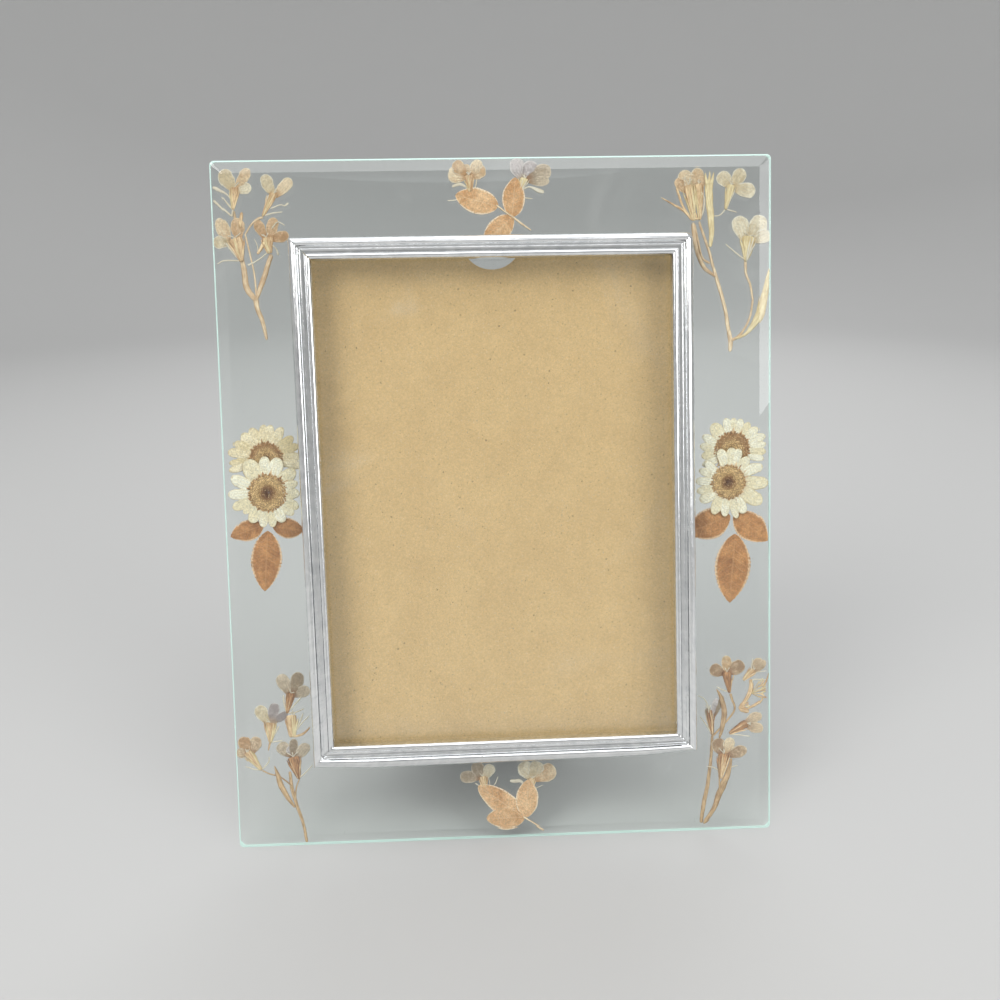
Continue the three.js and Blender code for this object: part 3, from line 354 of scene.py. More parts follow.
def ramp(tree, share, *stops):
    """A colour for each share, between its (share, colour) stops."""
    made = tree.nodes.new("ShaderNodeValToRGB")
    line = made.color_ramp
    while len(line.elements) < len(stops):
        line.elements.new(0.5)
    for element, (place, shade) in zip(line.elements, stops):
        element.position = place
        element.color = shade
    tree.links.new(share, made.inputs[0])
    return made.outputs[0]


def stretched(tree, vector, x, y, z):
    """A vector, scaled by its own number along each axis."""
    inputs = {0: vector, 1: (x, y, z)}
    return add(tree, "VectorMath", inputs, operation="MULTIPLY").outputs[0]


def bumped(tree, height, strength, distance, normal=None):
    """A normal that follows a height pattern, over another normal if there is one."""
    inputs = {"Height": height, "Strength": strength, "Distance": distance}
    if normal is not None:
        inputs["Normal"] = normal
    return add(tree, "Bump", inputs).outputs[0]


def new_material(name):
    """A new material, its node tree and its main shader."""
    made = bpy.data.materials.new(name)
    made.use_nodes = True
    tree = made.node_tree
    shader = tree.nodes["Principled BSDF"]
    return made, tree, shader


def join(tree, socket, shader, name):
    """The socket drives the shader's input of this name."""
    tree.links.new(socket, shader.inputs[name])


def lay_of(tree):
    """A point's place on its own piece, in millimetres."""
    return add(tree, "Attribute", attribute_name="lay").outputs["Vector"]


def grain_of(tree):
    """A point's share across and along its patch, and the patch's own tone."""
    vector = add(tree, "Attribute", attribute_name="grain").outputs["Vector"]
    return list(add(tree, "SeparateXYZ", {0: vector}).outputs)


# ---------------------------------------------------------------- materials: glass and hardware

def glass_material():
    """Clear float glass: sharp on its faces, a little rough and minty on its ground edges."""
    made, tree, shader = new_material("glass")
    edge = add(tree, "Attribute", attribute_name="edge").outputs["Fac"]
    place = add(tree, "TexCoord").outputs["Object"]
    shader.inputs["Transmission Weight"].default_value = 1
    shader.inputs["IOR"].default_value = 1.52
    join(tree, times(tree, edge, GRIND_ROUGHNESS), shader, "Roughness")
    tint = blend(tree, edge, (0.985, 1.0, 0.992, 1), (0.62, 0.93, 0.82, 1))
    join(tree, tint, shader, "Base Color")
    speck = cells(tree, place, 260)
    size = between(tree, lot(tree, speck), 0.5, 1.0, 0.01, 0.07)
    dust = maths(tree, "LESS_THAN", speck["Distance"], size)
    haze = between(tree, noise(tree, place, 14, 3, 0.65, 1.5), 0.56, 0.8, 0.0, 0.05)
    dirt = maths(tree, "MAXIMUM", times(tree, dust, 0.22), haze)
    dirt = maths(tree, "MAXIMUM", dirt, times(tree, edge, 0.75))
    film_shade = blend(tree, edge, (0.86, 0.86, 0.84, 1), (0.74, 0.97, 0.9, 1))
    film = add(tree, "BsdfDiffuse", {"Color": film_shade}).outputs[0]
    dusty = add(tree, "MixShader", {0: dirt, 1: shader.outputs[0], 2: film}).outputs[0]
    rays = add(tree, "LightPath").outputs
    lamp = maths(tree, "MAXIMUM", rays["Is Shadow Ray"], rays["Is Diffuse Ray"])
    open_glass = add(tree, "BsdfTransparent", {"Color": (0.97, 0.975, 0.972, 1)}).outputs[0]
    surface = add(tree, "MixShader", {0: lamp, 1: dusty, 2: open_glass}).outputs[0]
    output = tree.nodes["Material Output"]
    tree.links.new(surface, output.inputs["Surface"])
    inside = add(tree, "VolumeAbsorption", {"Color": (0.5, 0.93, 0.82, 1), "Density": 4.0})
    tree.links.new(inside.outputs[0], output.inputs["Volume"])
    return made


def silver_material():
    """The bright moulding: a satin grain, faint drawn lines, worn patches, and rare pits and specks."""
    made, tree, shader = new_material("silver")
    lay = lay_of(tree)
    shader.inputs["Metallic"].default_value = 1
    drawn = noise(tree, stretched(tree, lay, 6, 0.04, 1), 1, 2)
    grain = noise(tree, lay, 2.6, 3, 0.7)
    worn = noise(tree, lay, 0.3, 4, 0.62, 0.6)
    pits = cells(tree, lay, 1.3)
    rare = between(tree, lot(tree, pits), 0.86, 0.96)
    depth = times(tree, between(tree, pits["Distance"], 0.05, 0.3, 1, 0), rare)
    tone = mixed(tree, drawn, 0.4, worn, 0.6)
    shade = ramp(tree, tone, (0.36, colour(226, 228, 230)), (0.6, colour(250, 251, 251)))
    join(tree, blend(tree, depth, shade, colour(110, 110, 108)), shader, "Base Color")
    gloss = between(tree, worn, 0.35, 0.65, 0.13, 0.17)
    join(tree, plus(tree, gloss, times(tree, depth, 0.3)), shader, "Roughness")
    height = maths(tree, "SUBTRACT", times(tree, grain, 0.3), times(tree, depth, 2))
    join(tree, bumped(tree, height, 0.08, 0.00003), shader, "Normal")
    return made


def kraft_material(name, light, dark, fleck):
    """Unbleached chipboard: short fibres every way, darker flecks, pressed clouds and faint stains."""
    made, tree, shader = new_material(name)
    lay = lay_of(tree)
    clouds = noise(tree, lay, 0.06, 4, 0.7, 0.4)
    pulp = noise(tree, lay, 1.6, 4, 0.75)
    shade = ramp(tree, clouds, (0.2, blended(dark, light, 0.6)), (0.8, light))
    shade = shaded(tree, shade, between(tree, pulp, 0.25, 0.75, 0.84, 1.13))
    fibres = None
    for angle in (0.3, 1.6):
        spin = add(tree, "VectorRotate", {0: lay, 3: angle}, rotation_type="Z_AXIS").outputs[0]
        thread = noise(tree, stretched(tree, spin, 4.5, 0.7, 1), 1, 2, 0.5, 0.3)
        line = between(tree, thread, 0.66, 0.74)
        fibres = line if fibres is None else maths(tree, "MAXIMUM", fibres, line)
    shade = blend(tree, times(tree, fibres, 0.3), shade, dark)
    spots = cells(tree, lay, 0.33)
    small = between(tree, noise(tree, lay, 0.9, 1), 0.45, 0.75, 0.0, 0.16)
    specks = maths(tree, "LESS_THAN", spots["Distance"], small)
    shade = blend(tree, times(tree, specks, 0.6), shade, fleck)
    pale = blended(light, WHITE, 0.4)
    for spacing, most, share, tone in ((0.85, 0.2, 0.4, fleck), (1.1, 0.24, 0.35, pale)):
        fine = cells(tree, lay, spacing)
        tiny = between(tree, lot(tree, fine), 0.45, 1.0, 0.0, most)
        dots = maths(tree, "LESS_THAN", fine["Distance"], tiny)
        shade = blend(tree, times(tree, dots, share), shade, tone)
    join(tree, shade, shader, "Base Color")
    join(tree, between(tree, pulp, 0.2, 0.8, 0.78, 0.96), shader, "Roughness")
    shader.inputs["Specular IOR Level"].default_value = 0.25
    join(tree, bumped(tree, pulp, 0.35, 0.00012), shader, "Normal")
    return made


def black_paper_material():
    """Black flocked board: a short dense nap with lint, and a faint sheen."""
    made, tree, shader = new_material("black_flock")
    lay = lay_of(tree)
    nap = noise(tree, lay, 5.5, 4, 0.7)
    rubbed = noise(tree, lay, 0.045, 5, 0.6, 1.2)
    shade = ramp(tree, nap, (0.3, colour(16, 16, 17)), (0.75, colour(44, 43, 43)))
    shade = blend(tree, between(tree, rubbed, 0.5, 0.75, 0, 0.45), shade, colour(66, 64, 62))
    thread = noise(tree, stretched(tree, lay, 2.4, 0.5, 1), 1, 2, 0.5, 2.0)
    lint = between(tree, thread, 0.745, 0.77, 0, 0.7)
    join(tree, blend(tree, lint, shade, colour(150, 148, 144)), shader, "Base Color")
    join(tree, between(tree, nap, 0.2, 0.8, 0.82, 1.0), shader, "Roughness")
    shader.inputs["Sheen Weight"].default_value = 0.35
    shader.inputs["Sheen Roughness"].default_value = 0.45
    join(tree, bumped(tree, nap, 0.6, 0.00018), shader, "Normal")
    return made


def zinc_material():
    """Zinc-plated sheet: rolled lines, faint spangle and fingermarks."""
    made, tree, shader = new_material("zinc")
    place = add(tree, "TexCoord").outputs["Object"]
    shader.inputs["Metallic"].default_value = 1
    rolled = noise(tree, stretched(tree, place, 2600, 2600, 90), 1, 3)
    spangle = lot(tree, cells(tree, place, 260))
    marks = noise(tree, place, 55, 5, 0.65, 1.0)
    tone = mixed(tree, rolled, 0.6, spangle, 0.25)
    shade = ramp(tree, tone, (0.25, colour(136, 138, 140)), (0.75, colour(206, 207, 205)))
    shade = blend(tree, between(tree, marks, 0.55, 0.8, 0, 0.5), shade, colour(148, 142, 130))
    join(tree, shade, shader, "Base Color")
    join(tree, between(tree, marks, 0.25, 0.8, 0.26, 0.55), shader, "Roughness")
    join(tree, bumped(tree, rolled, 0.25, 0.00005), shader, "Normal")
    return made


def tape_material():
    """Milky mounting tape with trapped air."""
    made, tree, shader = new_material("tape")
    lay = lay_of(tree)
    air = noise(tree, lay, 0.8, 5, 0.65, 0.8)
    shade = ramp(tree, air, (0.35, colour(206, 206, 198)), (0.7, colour(236, 236, 231)))
    join(tree, shade, shader, "Base Color")
    join(tree, between(tree, air, 0.3, 0.7, 0.3, 0.6), shader, "Roughness")
    shader.inputs["Subsurface Weight"].default_value = 0.2
    shader.inputs["Subsurface Radius"].default_value = (0.001, 0.001, 0.001)
    join(tree, bumped(tree, air, 0.4, 0.0001), shader, "Normal")
    return made


# ---------------------------------------------------------------- materials: dried flowers

def thin_surface(made, tree, shader, shade, through, share):
    """A thin dried sheet: some of the light goes through it."""
    join(tree, shade, shader, "Base Color")
    glow = add(tree, "BsdfTranslucent", {"Color": through}).outputs[0]
    surface = add(tree, "MixShader", {0: share, 1: shader.outputs[0], 2: glow}).outputs[0]
    tree.links.new(surface, tree.nodes["Material Output"].inputs["Surface"])
    return made


def petal_material(name, deep, light, rim, foot, solid, veins=16):
    """A papery petal: veins fanning from its foot, a rim (pale; painted shade on daisy rays), blotches,
    thin spots.
    """
    made, tree, shader = new_material(name)
    across, along, own = grain_of(tree)
    lay = lay_of(tree)
    wander = noise(tree, lay, 0.55, 3)
    phase = mixed(tree, across, veins, wander, 7)
    line = between(tree, maths(tree, "SINE", phase), 0.35, 1.0)
    line = times(tree, line, between(tree, along, 0.98, 0.3, 0.25, 1.0))
    blotch = noise(tree, lay, 0.42, 5, 0.65, 0.7)
    fine = noise(tree, lay, 1.8, 5, 0.78)
    tone = mixed(tree, blotch, 0.75, own, 0.28)
    shade = ramp(tree, tone, (0.4, deep), (0.62, light))
    shade = shaded(tree, shade, between(tree, fine, 0.34, 0.64, 0.66, 1.14))
    shade = blend(tree, times(tree, line, 0.85), shade, deep)
    shade = blend(tree, between(tree, along, 0.42, 0.05, 0, 0.85), shade, foot)
    side = maths(tree, "ABSOLUTE", across)
    edge = maths(tree, "MAXIMUM", between(tree, side, 0.8, 0.98), between(tree, along, 0.93, 0.995))
    edge = times(tree, edge, between(tree, along, 0.1, 0.4, 0, 0.8))
    # On daisy rays the rim colour is darker than the body: painted shade where neighbouring rays meet.
    shade = blend(tree, edge, shade, rim)
    join(tree, between(tree, fine, 0.3, 0.7, 0.55, 0.85), shader, "Roughness")
    shader.inputs["Specular IOR Level"].default_value = 0.35
    height = mixed(tree, line, 0.6, fine, 0.5)
    wrinkle = bumped(tree, blotch, 0.8, 0.0008)
    join(tree, bumped(tree, height, 0.8, 0.0002, wrinkle), shader, "Normal")
    if solid < 1:
        body = maths(tree, "MAXIMUM", line, edge)
        body = maths(tree, "MAXIMUM", body, between(tree, along, 0.5, 0.1))
        cover = plus(tree, times(tree, body, 1 - solid), solid, clamp=True)
        thin = between(tree, blotch, 0.4, 0.65, 0.9, 1.0)
        join(tree, times(tree, cover, thin), shader, "Alpha")
    through = 0.22 if solid < 1 else 0.06
    return thin_surface(made, tree, shader, shade, light, through)


def leaf_material(name, deep, light, rib, rim):
    """A dried leaf: a midrib, side veins that run forward, a mottled blade and a pale rim."""
    made, tree, shader = new_material(name)
    across, along, own = grain_of(tree)
    lay = lay_of(tree)
    side = maths(tree, "ABSOLUTE", across)
    wander = times(tree, noise(tree, lay, 0.3, 3), 3.2)
    sweep = mixed(tree, along, LEAF_VEINS, side, -VEIN_SWEEP)
    wave = maths(tree, "SINE", plus(tree, sweep, wander))
    veins = between(tree, wave, 0.78, 1.0)
    veins = times(tree, veins, between(tree, side, 1.0, 0.4))
    midrib = between(tree, side, 0.075, 0.02)
    mottle = noise(tree, lay, 0.2, 6, 0.66, 0.5)
    cellular = noise(tree, lay, 1.7, 5, 0.75)
    tone = mixed(tree, mottle, 0.85, own, 0.15)
    shade = ramp(tree, tone, (0.36, deep), (0.64, light))
    shade = shaded(tree, shade, between(tree, cellular, 0.3, 0.7, 0.64, 1.24))
    shade = blend(tree, times(tree, veins, 0.3), shade, rib)
    shade = blend(tree, times(tree, midrib, 0.3), shade, rib)
    edge = times(tree, between(tree, side, 0.83, 0.93), between(tree, cellular, 0.4, 0.5))
    shade = blend(tree, times(tree, edge, 0.9), shade, rim)
    spot = cells(tree, lay, 0.9)["Distance"]
    rare = between(tree, noise(tree, lay, 0.25, 2), 0.56, 0.62)
    fleck = times(tree, between(tree, spot, 0.16, 0.06), rare)
    shade = blend(tree, times(tree, fleck, 0.6), shade, deep)
    join(tree, between(tree, cellular, 0.3, 0.7, 0.5, 0.78), shader, "Roughness")
    shader.inputs["Specular IOR Level"].default_value = 0.4
    height = mixed(tree, veins, 0.7, cellular, 0.45)
    cockle = bumped(tree, mottle, 0.45, 0.0006)
    join(tree, bumped(tree, height, 0.8, 0.0002, cockle), shader, "Normal")
    return thin_surface(made, tree, shader, shade, light, 0.14)


def stalk_material(name, deep, light, lines=2.8, share=0.1):
    """A dried stalk, pod or calyx: fibres, some dark, with painted shade in grooves and at its sides; dull
    patches.
    """
    made, tree, shader = new_material(name)
    across, _, own = grain_of(tree)
    lay = lay_of(tree)
    fibre = noise(tree, stretched(tree, lay, lines, 0.22, 1), 1, 4, 0.6)
    groove = between(tree, fibre, 0.56, 0.4)
    patch = noise(tree, lay, 0.35, 4, 0.6)
    tone = mixed(tree, patch, 0.8, own, 0.22)
    shade = ramp(tree, tone, (0.34, blended(deep, light, 0.45)), (0.62, light))
    # Dark lines in the low grooves of the fibre bump: partly the fibres' own colour, partly painted shade.
    shade = blend(tree, times(tree, groove, 0.6), shade, deep)
    # Painted shade: the stalk darkens towards both sides, as a round stem does in light.
    side = between(tree, maths(tree, "ABSOLUTE", across), 0.6, 0.95, 0, 0.5)
    shade = blend(tree, side, shade, deep)
    join(tree, between(tree, fibre, 0.3, 0.7, 0.5, 0.8), shader, "Roughness")
    shader.inputs["Specular IOR Level"].default_value = 0.35
    join(tree, bumped(tree, fibre, 0.7, 0.0002), shader, "Normal")
    return thin_surface(made, tree, shader, shade, light, share)


def disc_material():
    """A daisy's disc: golden tan florets round a dark brown middle, each with its own tone and painted
    shade at its foot.
    """
    made, tree, shader = new_material("daisy_disc")
    across, along, own = grain_of(tree)
    lay = lay_of(tree)
    speckle = noise(tree, lay, 3.0, 3)
    reach = plus(tree, along, times(tree, maths(tree, "SUBTRACT", speckle, 0.5), 0.35))
    shade = ramp(
        tree,
        reach,
        (0.14, colour(92, 58, 36)),
        (0.34, colour(158, 114, 70)),
        (0.54, colour(228, 190, 130)),
        (0.8, colour(236, 200, 142)),
        (1.0, colour(176, 130, 84)),
    )
    shade = shaded(tree, shade, between(tree, own, 0, 1, 0.78, 1.18))
    # Painted shade: each floret turns dark brown towards its foot, where the florets crowd together.
    foot = between(tree, across, 0.9, 0.2, 0, 0.6)
    shade = blend(tree, foot, shade, colour(104, 68, 40))
    tip = times(tree, between(tree, across, 0.6, 1.0), between(tree, own, 0.5, 1, 0, 0.6))
    shade = blend(tree, tip, shade, colour(244, 218, 166))
    shader.inputs["Roughness"].default_value = 0.8
    return thin_surface(made, tree, shader, shade, colour(220, 180, 110), 0.15)


FINISHES = {
    "glass": glass_material(),
    "silver": silver_material(),
    "kraft": kraft_material("kraft", colour(231, 194, 142), colour(190, 152, 104), colour(104, 74, 46)),
    "chipboard": kraft_material("chipboard", colour(186, 156, 112), colour(140, 108, 72),
                                colour(80, 60, 40)),
    "flock": black_paper_material(),
    "zinc": zinc_material(),
    "tape": tape_material(),
    "beige": petal_material("beige_petal", colour(216, 180, 138), colour(252, 234, 202),
                            colour(250, 243, 224), colour(206, 156, 106), 0.9),
    "tan": petal_material("tan_petal", colour(196, 156, 116), colour(244, 214, 176),
                          colour(246, 228, 196), colour(190, 136, 88), 0.92),
    "grey": petal_material("grey_petal", colour(168, 148, 124), colour(232, 216, 192),
                           colour(240, 230, 212), colour(162, 116, 78), 0.88),
    "fawn": petal_material("fawn_petal", colour(172, 138, 108), colour(240, 218, 186),
                           colour(244, 230, 206), colour(160, 104, 72), 0.9),
    "lilac": petal_material("lilac_petal", colour(164, 152, 150), colour(228, 220, 218),
                            colour(244, 240, 236), colour(190, 160, 128), 0.82),
    "pale": petal_material("pale_petal", colour(214, 194, 156), colour(254, 244, 220),
                           colour(252, 249, 238), colour(216, 188, 142), 0.84),
    # The two ray finishes have a rim darker than their body: painted shade between neighbouring rays.
    "ray": petal_material("daisy_ray", colour(242, 230, 194), colour(255, 251, 230),
                          colour(224, 206, 164), colour(200, 158, 104), 1, 11),
    "old_ray": petal_material("old_daisy_ray", colour(226, 208, 164), colour(252, 240, 208),
                              colour(204, 184, 142), colour(186, 144, 92), 1, 11),
    "leaf": leaf_material("copper_leaf", colour(158, 106, 64), colour(218, 160, 104),
                          colour(224, 176, 124), colour(244, 216, 180)),
    "apricot": leaf_material("apricot_leaf", colour(206, 154, 104), colour(246, 206, 158),
                             colour(248, 222, 184), colour(250, 234, 208)),
    "stalk": stalk_material("stalk", colour(178, 138, 98), colour(252, 232, 198)),
    "calyx": stalk_material("calyx", colour(160, 108, 66), colour(252, 226, 182), 2.2),
    "brown": stalk_material("brown_calyx", colour(92, 54, 32), colour(214, 164, 118), 2.2),
    "golden": stalk_material("golden_stalk", colour(140, 106, 74), colour(220, 188, 146), 2.2),
    "pod": stalk_material("pod", colour(196, 168, 116), colour(246, 232, 190), 2.4),
    "white": stalk_material("whisker", colour(212, 196, 168), colour(250, 244, 228), 6.0, 0.3),
    "disc": disc_material(),
}


# ---------------------------------------------------------------- meshes

class Patch:
    """One closed surface: a wrapped grid of points with a face over each end, and its own facts.

    grain holds the share across (-1 to 1), the share along (0 to 1) and the patch's own tone.
    lay holds the same two as distances in millimetres, and a number of the patch's own.
    finish is one name, or one for each band of faces followed by the first and last end."""

    def __init__(self, points, grain, lay, finish):
        self.points = np.asarray(points, float)
        self.grain = np.asarray(grain, float)
        self.lay = np.asarray(lay, float)
        bands = self.points.shape[0] + 1
        self.finishes = [finish] * bands if isinstance(finish, str) else list(finish)

    def faces(self, first):
        """Its faces, when its points start at this index: round after round, then both ends."""
        rows, columns = self.points.shape[:2]
        for row in range(rows - 1):
            for column in range(columns):
                a = first + row * columns + column
                b = first + row * columns + (column + 1) % columns
                yield (a, b, b + columns, a + columns)
        yield tuple(first + column for column in reversed(range(columns)))
        yield tuple(first + (rows - 1) * columns + column for column in range(columns))

    def face_finishes(self):
        """The finish of each of its faces, in the same order."""
        columns = self.points.shape[1]
        *bands, first_end, last_end = self.finishes
        return [finish for finish in bands for column in range(columns)] + [first_end, last_end]


def write_vectors(mesh, name, values):
    """Three numbers for each point, under a name that the materials read."""
    layer = mesh.attributes.new(name, "FLOAT_VECTOR", "POINT")
    layer.data.foreach_set("vector", np.asarray(values, np.float32).ravel())


def face_outward(mesh):
    """Every closed part's faces turned to look out."""
    work = bmesh.new()
    work.from_mesh(mesh)
    bmesh.ops.recalc_face_normals(work, faces=work.faces)
    work.to_mesh(mesh)
    work.free()


def new_piece(name, points, faces, finishes, picks, smooth):
    """A mesh object from row-frame points, with its materials and the one each face takes."""
    mesh = bpy.data.meshes.new(name)
    mesh.from_pydata(np.asarray(points, float).tolist(), [], faces)
    for finish in finishes:
        mesh.materials.append(finish)
    mesh.polygons.foreach_set("material_index", np.asarray(picks, np.int32))
    mesh.polygons.foreach_set("use_smooth", np.full(len(faces), smooth))
    face_outward(mesh)
    made = bpy.data.objects.new(name, mesh)
    bpy.context.scene.collection.objects.link(made)
    return made


def from_patches(name, patches, place=to_row, smooth=True):
    """One object from several patches."""
    points, grain, lay, faces, picks = [], [], [], [], []
    finishes = list(dict.fromkeys(finish for patch in patches for finish in patch.finishes))
    first = 0
    for patch in patches:
        faces += patch.faces(first)
        picks += [finishes.index(finish) for finish in patch.face_finishes()]
        points.append(patch.points.reshape(-1, 3))
        grain.append(patch.grain.reshape(-1, 3))
        lay.append(patch.lay.reshape(-1, 3))
        first += patch.points.shape[0] * patch.points.shape[1]
    shown = [FINISHES[finish] for finish in finishes]
    made = new_piece(name, place(np.concatenate(points)), faces, shown, picks, smooth)
    write_vectors(made.data, "grain", np.concatenate(grain))
    write_vectors(made.data, "lay", np.concatenate(lay))
    return made


def settle(made, slot, body, *nodes):
    """The piece rides on its body and stands for these nodes. The slot is not used."""
    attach(made, body)
    if nodes:
        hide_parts(*nodes)
    return made


# ---------------------------------------------------------------- shapes of flattened things

def unit(vector):
    """The same direction, with a length of 1."""
    return vector / np.linalg.norm(vector, axis=-1, keepdims=True)


def left_of(direction):
    """A quarter turn to the left."""
    return np.stack([-direction[..., 1], direction[..., 0]], -1)


def smooth_line(points, count):
    """count points along a smooth line through the given ones."""
    points = np.asarray(points, float)
    held = np.vstack([2 * points[0] - points[1], points, 2 * points[-1] - points[-2]])
    spans = len(points) - 1
    share = np.linspace(0, spans, count)
    start = np.minimum(share.astype(int), spans - 1)
    t = (share - start)[:, None]
    a, b, c, d = (held[start + k] for k in range(4))
    return 0.5 * (2 * b + (c - a) * t + (2 * a - 5 * b + 4 * c - d) * t**2 + (3 * b - a - 3 * c + d) * t**3)


def wavy(size, *axes):
    """A smooth uneven surface over the axes, within about size of zero."""
    total = 0.0
    for step in (1, 2, 3):
        phases = rng.uniform(0, 2 * math.pi, len(axes))
        turns = rng.uniform(1.6, 3.2, len(axes)) * step
        wave = 1.0
        for axis, phase, turn_count in zip(axes, phases, turns):
            wave = wave * np.sin(axis * turn_count + phase)
        total = total + wave / step
    return total * size


def flattened(spine, left, right, thick, rise, finish, columns=9):
    """A closed flat body along a spine, with soft rims.

    left and right are the half widths to either side of it at each station. rise gives how far
    the body stands off zero, as a function of across and along, and thick how thick it is."""
    run = np.gradient(spine, axis=0)
    run /= np.maximum(np.linalg.norm(run, axis=1, keepdims=True), 1e-9)
    sideways = left_of(run)
    steps = np.linalg.norm(np.diff(spine, axis=0), axis=1)
    far = np.concatenate([[0], np.cumsum(steps)])
    along = (far / far[-1])[:, None]
    across = np.sin(np.linspace(-1, 1, columns) * math.pi / 2)[None, :]
    half = np.where(across > 0, left[:, None], right[:, None])
    flat = spine[:, None, :] + sideways[:, None, :] * (across * half)[..., None]
    back = rise(across, along) + np.zeros_like(half)
    front = back + thick * (1 - 0.82 * np.abs(across) ** 3)
    wide, long_way = across * half, far[:, None] + np.zeros_like(half)
    own = rng.uniform(0, 1)
    order = list(range(columns)) + list(range(columns - 2, 0, -1))
    is_back = np.array([False] * columns + [True] * (columns - 2))
    height = np.where(is_back, back[:, order], front[:, order])
    points = np.dstack([flat[:, order], height])
    share = np.broadcast_to(across, half.shape)[:, order]
    along = np.broadcast_to(along, half.shape)[:, order]
    grain = np.dstack([share, along, np.full(share.shape, own)])
    lay = np.dstack([wide[:, order], long_way[:, order], np.full(share.shape, own * 40)])
    return Patch(points, grain, lay, finish)


def petal(base_x, base_y, tip_x, tip_y, width, finish="beige", foot=0.3, widest=0.62, bend=0.0,
          notch=0.0, lift=0.05, stations=20):
    """A thin petal from its foot to its round tip, a little crinkled and uneven at its rim."""
    base, tip = np.array([base_x, base_y]), np.array([tip_x, tip_y])
    share = np.sin(np.linspace(0, 1, stations) * math.pi / 2) ** 1.15
    reach = tip - base
    spine = base + reach * share[:, None]
    spine = spine + left_of(unit(reach)) * (bend * width * np.sin(math.pi * share))[:, None]
    opening = np.clip(share / widest, 0, 1)
    growing = foot + (1 - foot) * opening**1.4 * (2.4 - 1.4 * opening)
    closing = np.sqrt(np.clip(1 - np.clip((share - widest) / (1 - widest), 0, 1) ** 2.3, 0, 1))
    half = width / 2 * np.minimum(growing, closing)
    half = np.maximum(half, 0.03 * width)
    left = half * (1 + wavy(0.04, share * 3) + wavy(0.016, share * 11))
    right = half * (1 + wavy(0.04, share * 3) + wavy(0.016, share * 11))
    ruffle = rng.uniform(0, 6)

    def rise(across, along):
        crease = wavy(0.028, across * 1.4 + ruffle, along * 2.2)
        cup = lift * across**2 * along
        return crease + cup + 0.02 * np.sin(across * 9 + ruffle) * along

    made = flattened(spine, left, right, 0.1, rise, finish)
    if notch:
        pull = notch * (1 - np.abs(made.grain[..., 0])) ** 1.5 * made.grain[..., 1] ** 6
        made.points[..., :2] -= reach * pull[..., None]
    return made


def ray(center, tip_x, tip_y, width, inside, finish="ray", bend=0.0):
    """A daisy's ray floret, from under the disc to its blunt, faintly notched tip."""
    reach = np.array([tip_x, tip_y]) - center
    base = center + reach / np.hypot(*reach) * inside
    return petal(*base, tip_x, tip_y, width * RAY_FULLNESS, finish, foot=0.72, widest=0.58, bend=bend,
                 notch=rng.uniform(0.01, 0.05), lift=-0.05, stations=18)


def dried_leaf(base_x, base_y, tip_x, tip_y, width, finish="leaf", blunt=0.0):
    """A leaf with a toothed rim, a raised midrib and a slightly cockled blade."""
    base, tip = np.array([base_x, base_y]), np.array([tip_x, tip_y])
    share = np.linspace(0, 1, LEAF_TEETH * 7)
    spine = base + (tip - base) * share[:, None]
    warped = share ** (math.log(0.5) / math.log(LEAF_WIDEST))
    half = width / 2 * np.sin(math.pi * warped) ** (0.74 - blunt)
    tooth = (share * LEAF_TEETH) % 1.0
    saw = (0.12 if finish == "apricot" else 0.44) * (tooth**1.6) * np.sin(math.pi * share) ** 0.4
    left = np.maximum(half - 0.1 + saw + wavy(0.08, share * 3), 0.12)
    right = np.maximum(half - 0.1 + np.roll(saw, 3) + wavy(0.08, share * 3), 0.12)

    def rise(across, along):
        rib = 0.1 * np.exp(-((across / 0.06) ** 2)) * (1 - 0.7 * along)
        sweep = along * LEAF_VEINS - np.abs(across) * VEIN_SWEEP
        return rib + wavy(0.035, across * 1.5, along * 2.5) + 0.012 * np.sin(sweep)

    return flattened(spine, left, right, 0.13, rise, finish, columns=17)


def strand(widths, *points, finish="stalk", thick=0.4, columns=7):
    """A stalk, pod or filament through its points, as wide at each as widths says."""
    length = np.sum(np.hypot(*np.diff(np.array(points, float), axis=0).T))
    stations = int(np.clip(length * 2.2, 8, 60))
    spine = smooth_line(points, stations)
    share = np.linspace(0, len(widths) - 1, stations)
    half = np.interp(share, range(len(widths)), widths) / 2
    ends = np.minimum(np.linspace(0, 1, stations), np.linspace(1, 0, stations)) * length
    half = half * np.sqrt(np.clip(ends / np.maximum(half, 0.05) + 0.12, 0, 1))
    uneven = wavy(0.05, np.linspace(0, 1, stations) * max(length / 3, 2))
    deep = min(thick, 0.75 * max(widths))

    def rise(across, along):
        return wavy(0.012, across * 4, along * length / 2)

    return flattened(spine, half * (1 + uneven), half * (1 - uneven), deep, rise, finish, columns)


def whisker(widths, *points):
    """A pale filament with a thin body."""
    return strand(widths, *points, finish="white", thick=0.2, columns=5)


def sepal(widths, *points):
    """A narrow brown sepal."""
    return strand(widths, *points, finish="calyx", thick=0.28)


def pod(widths, *points):
    """A straw-coloured pod or bud, thicker than a stalk."""
    return strand(widths, *points, finish="pod", thick=0.55, columns=11)


def golden(widths, *points):
    """A stalk, pod or blade in the darker gold of the two bottom sprays."""
    return strand(widths, *points, finish="golden")


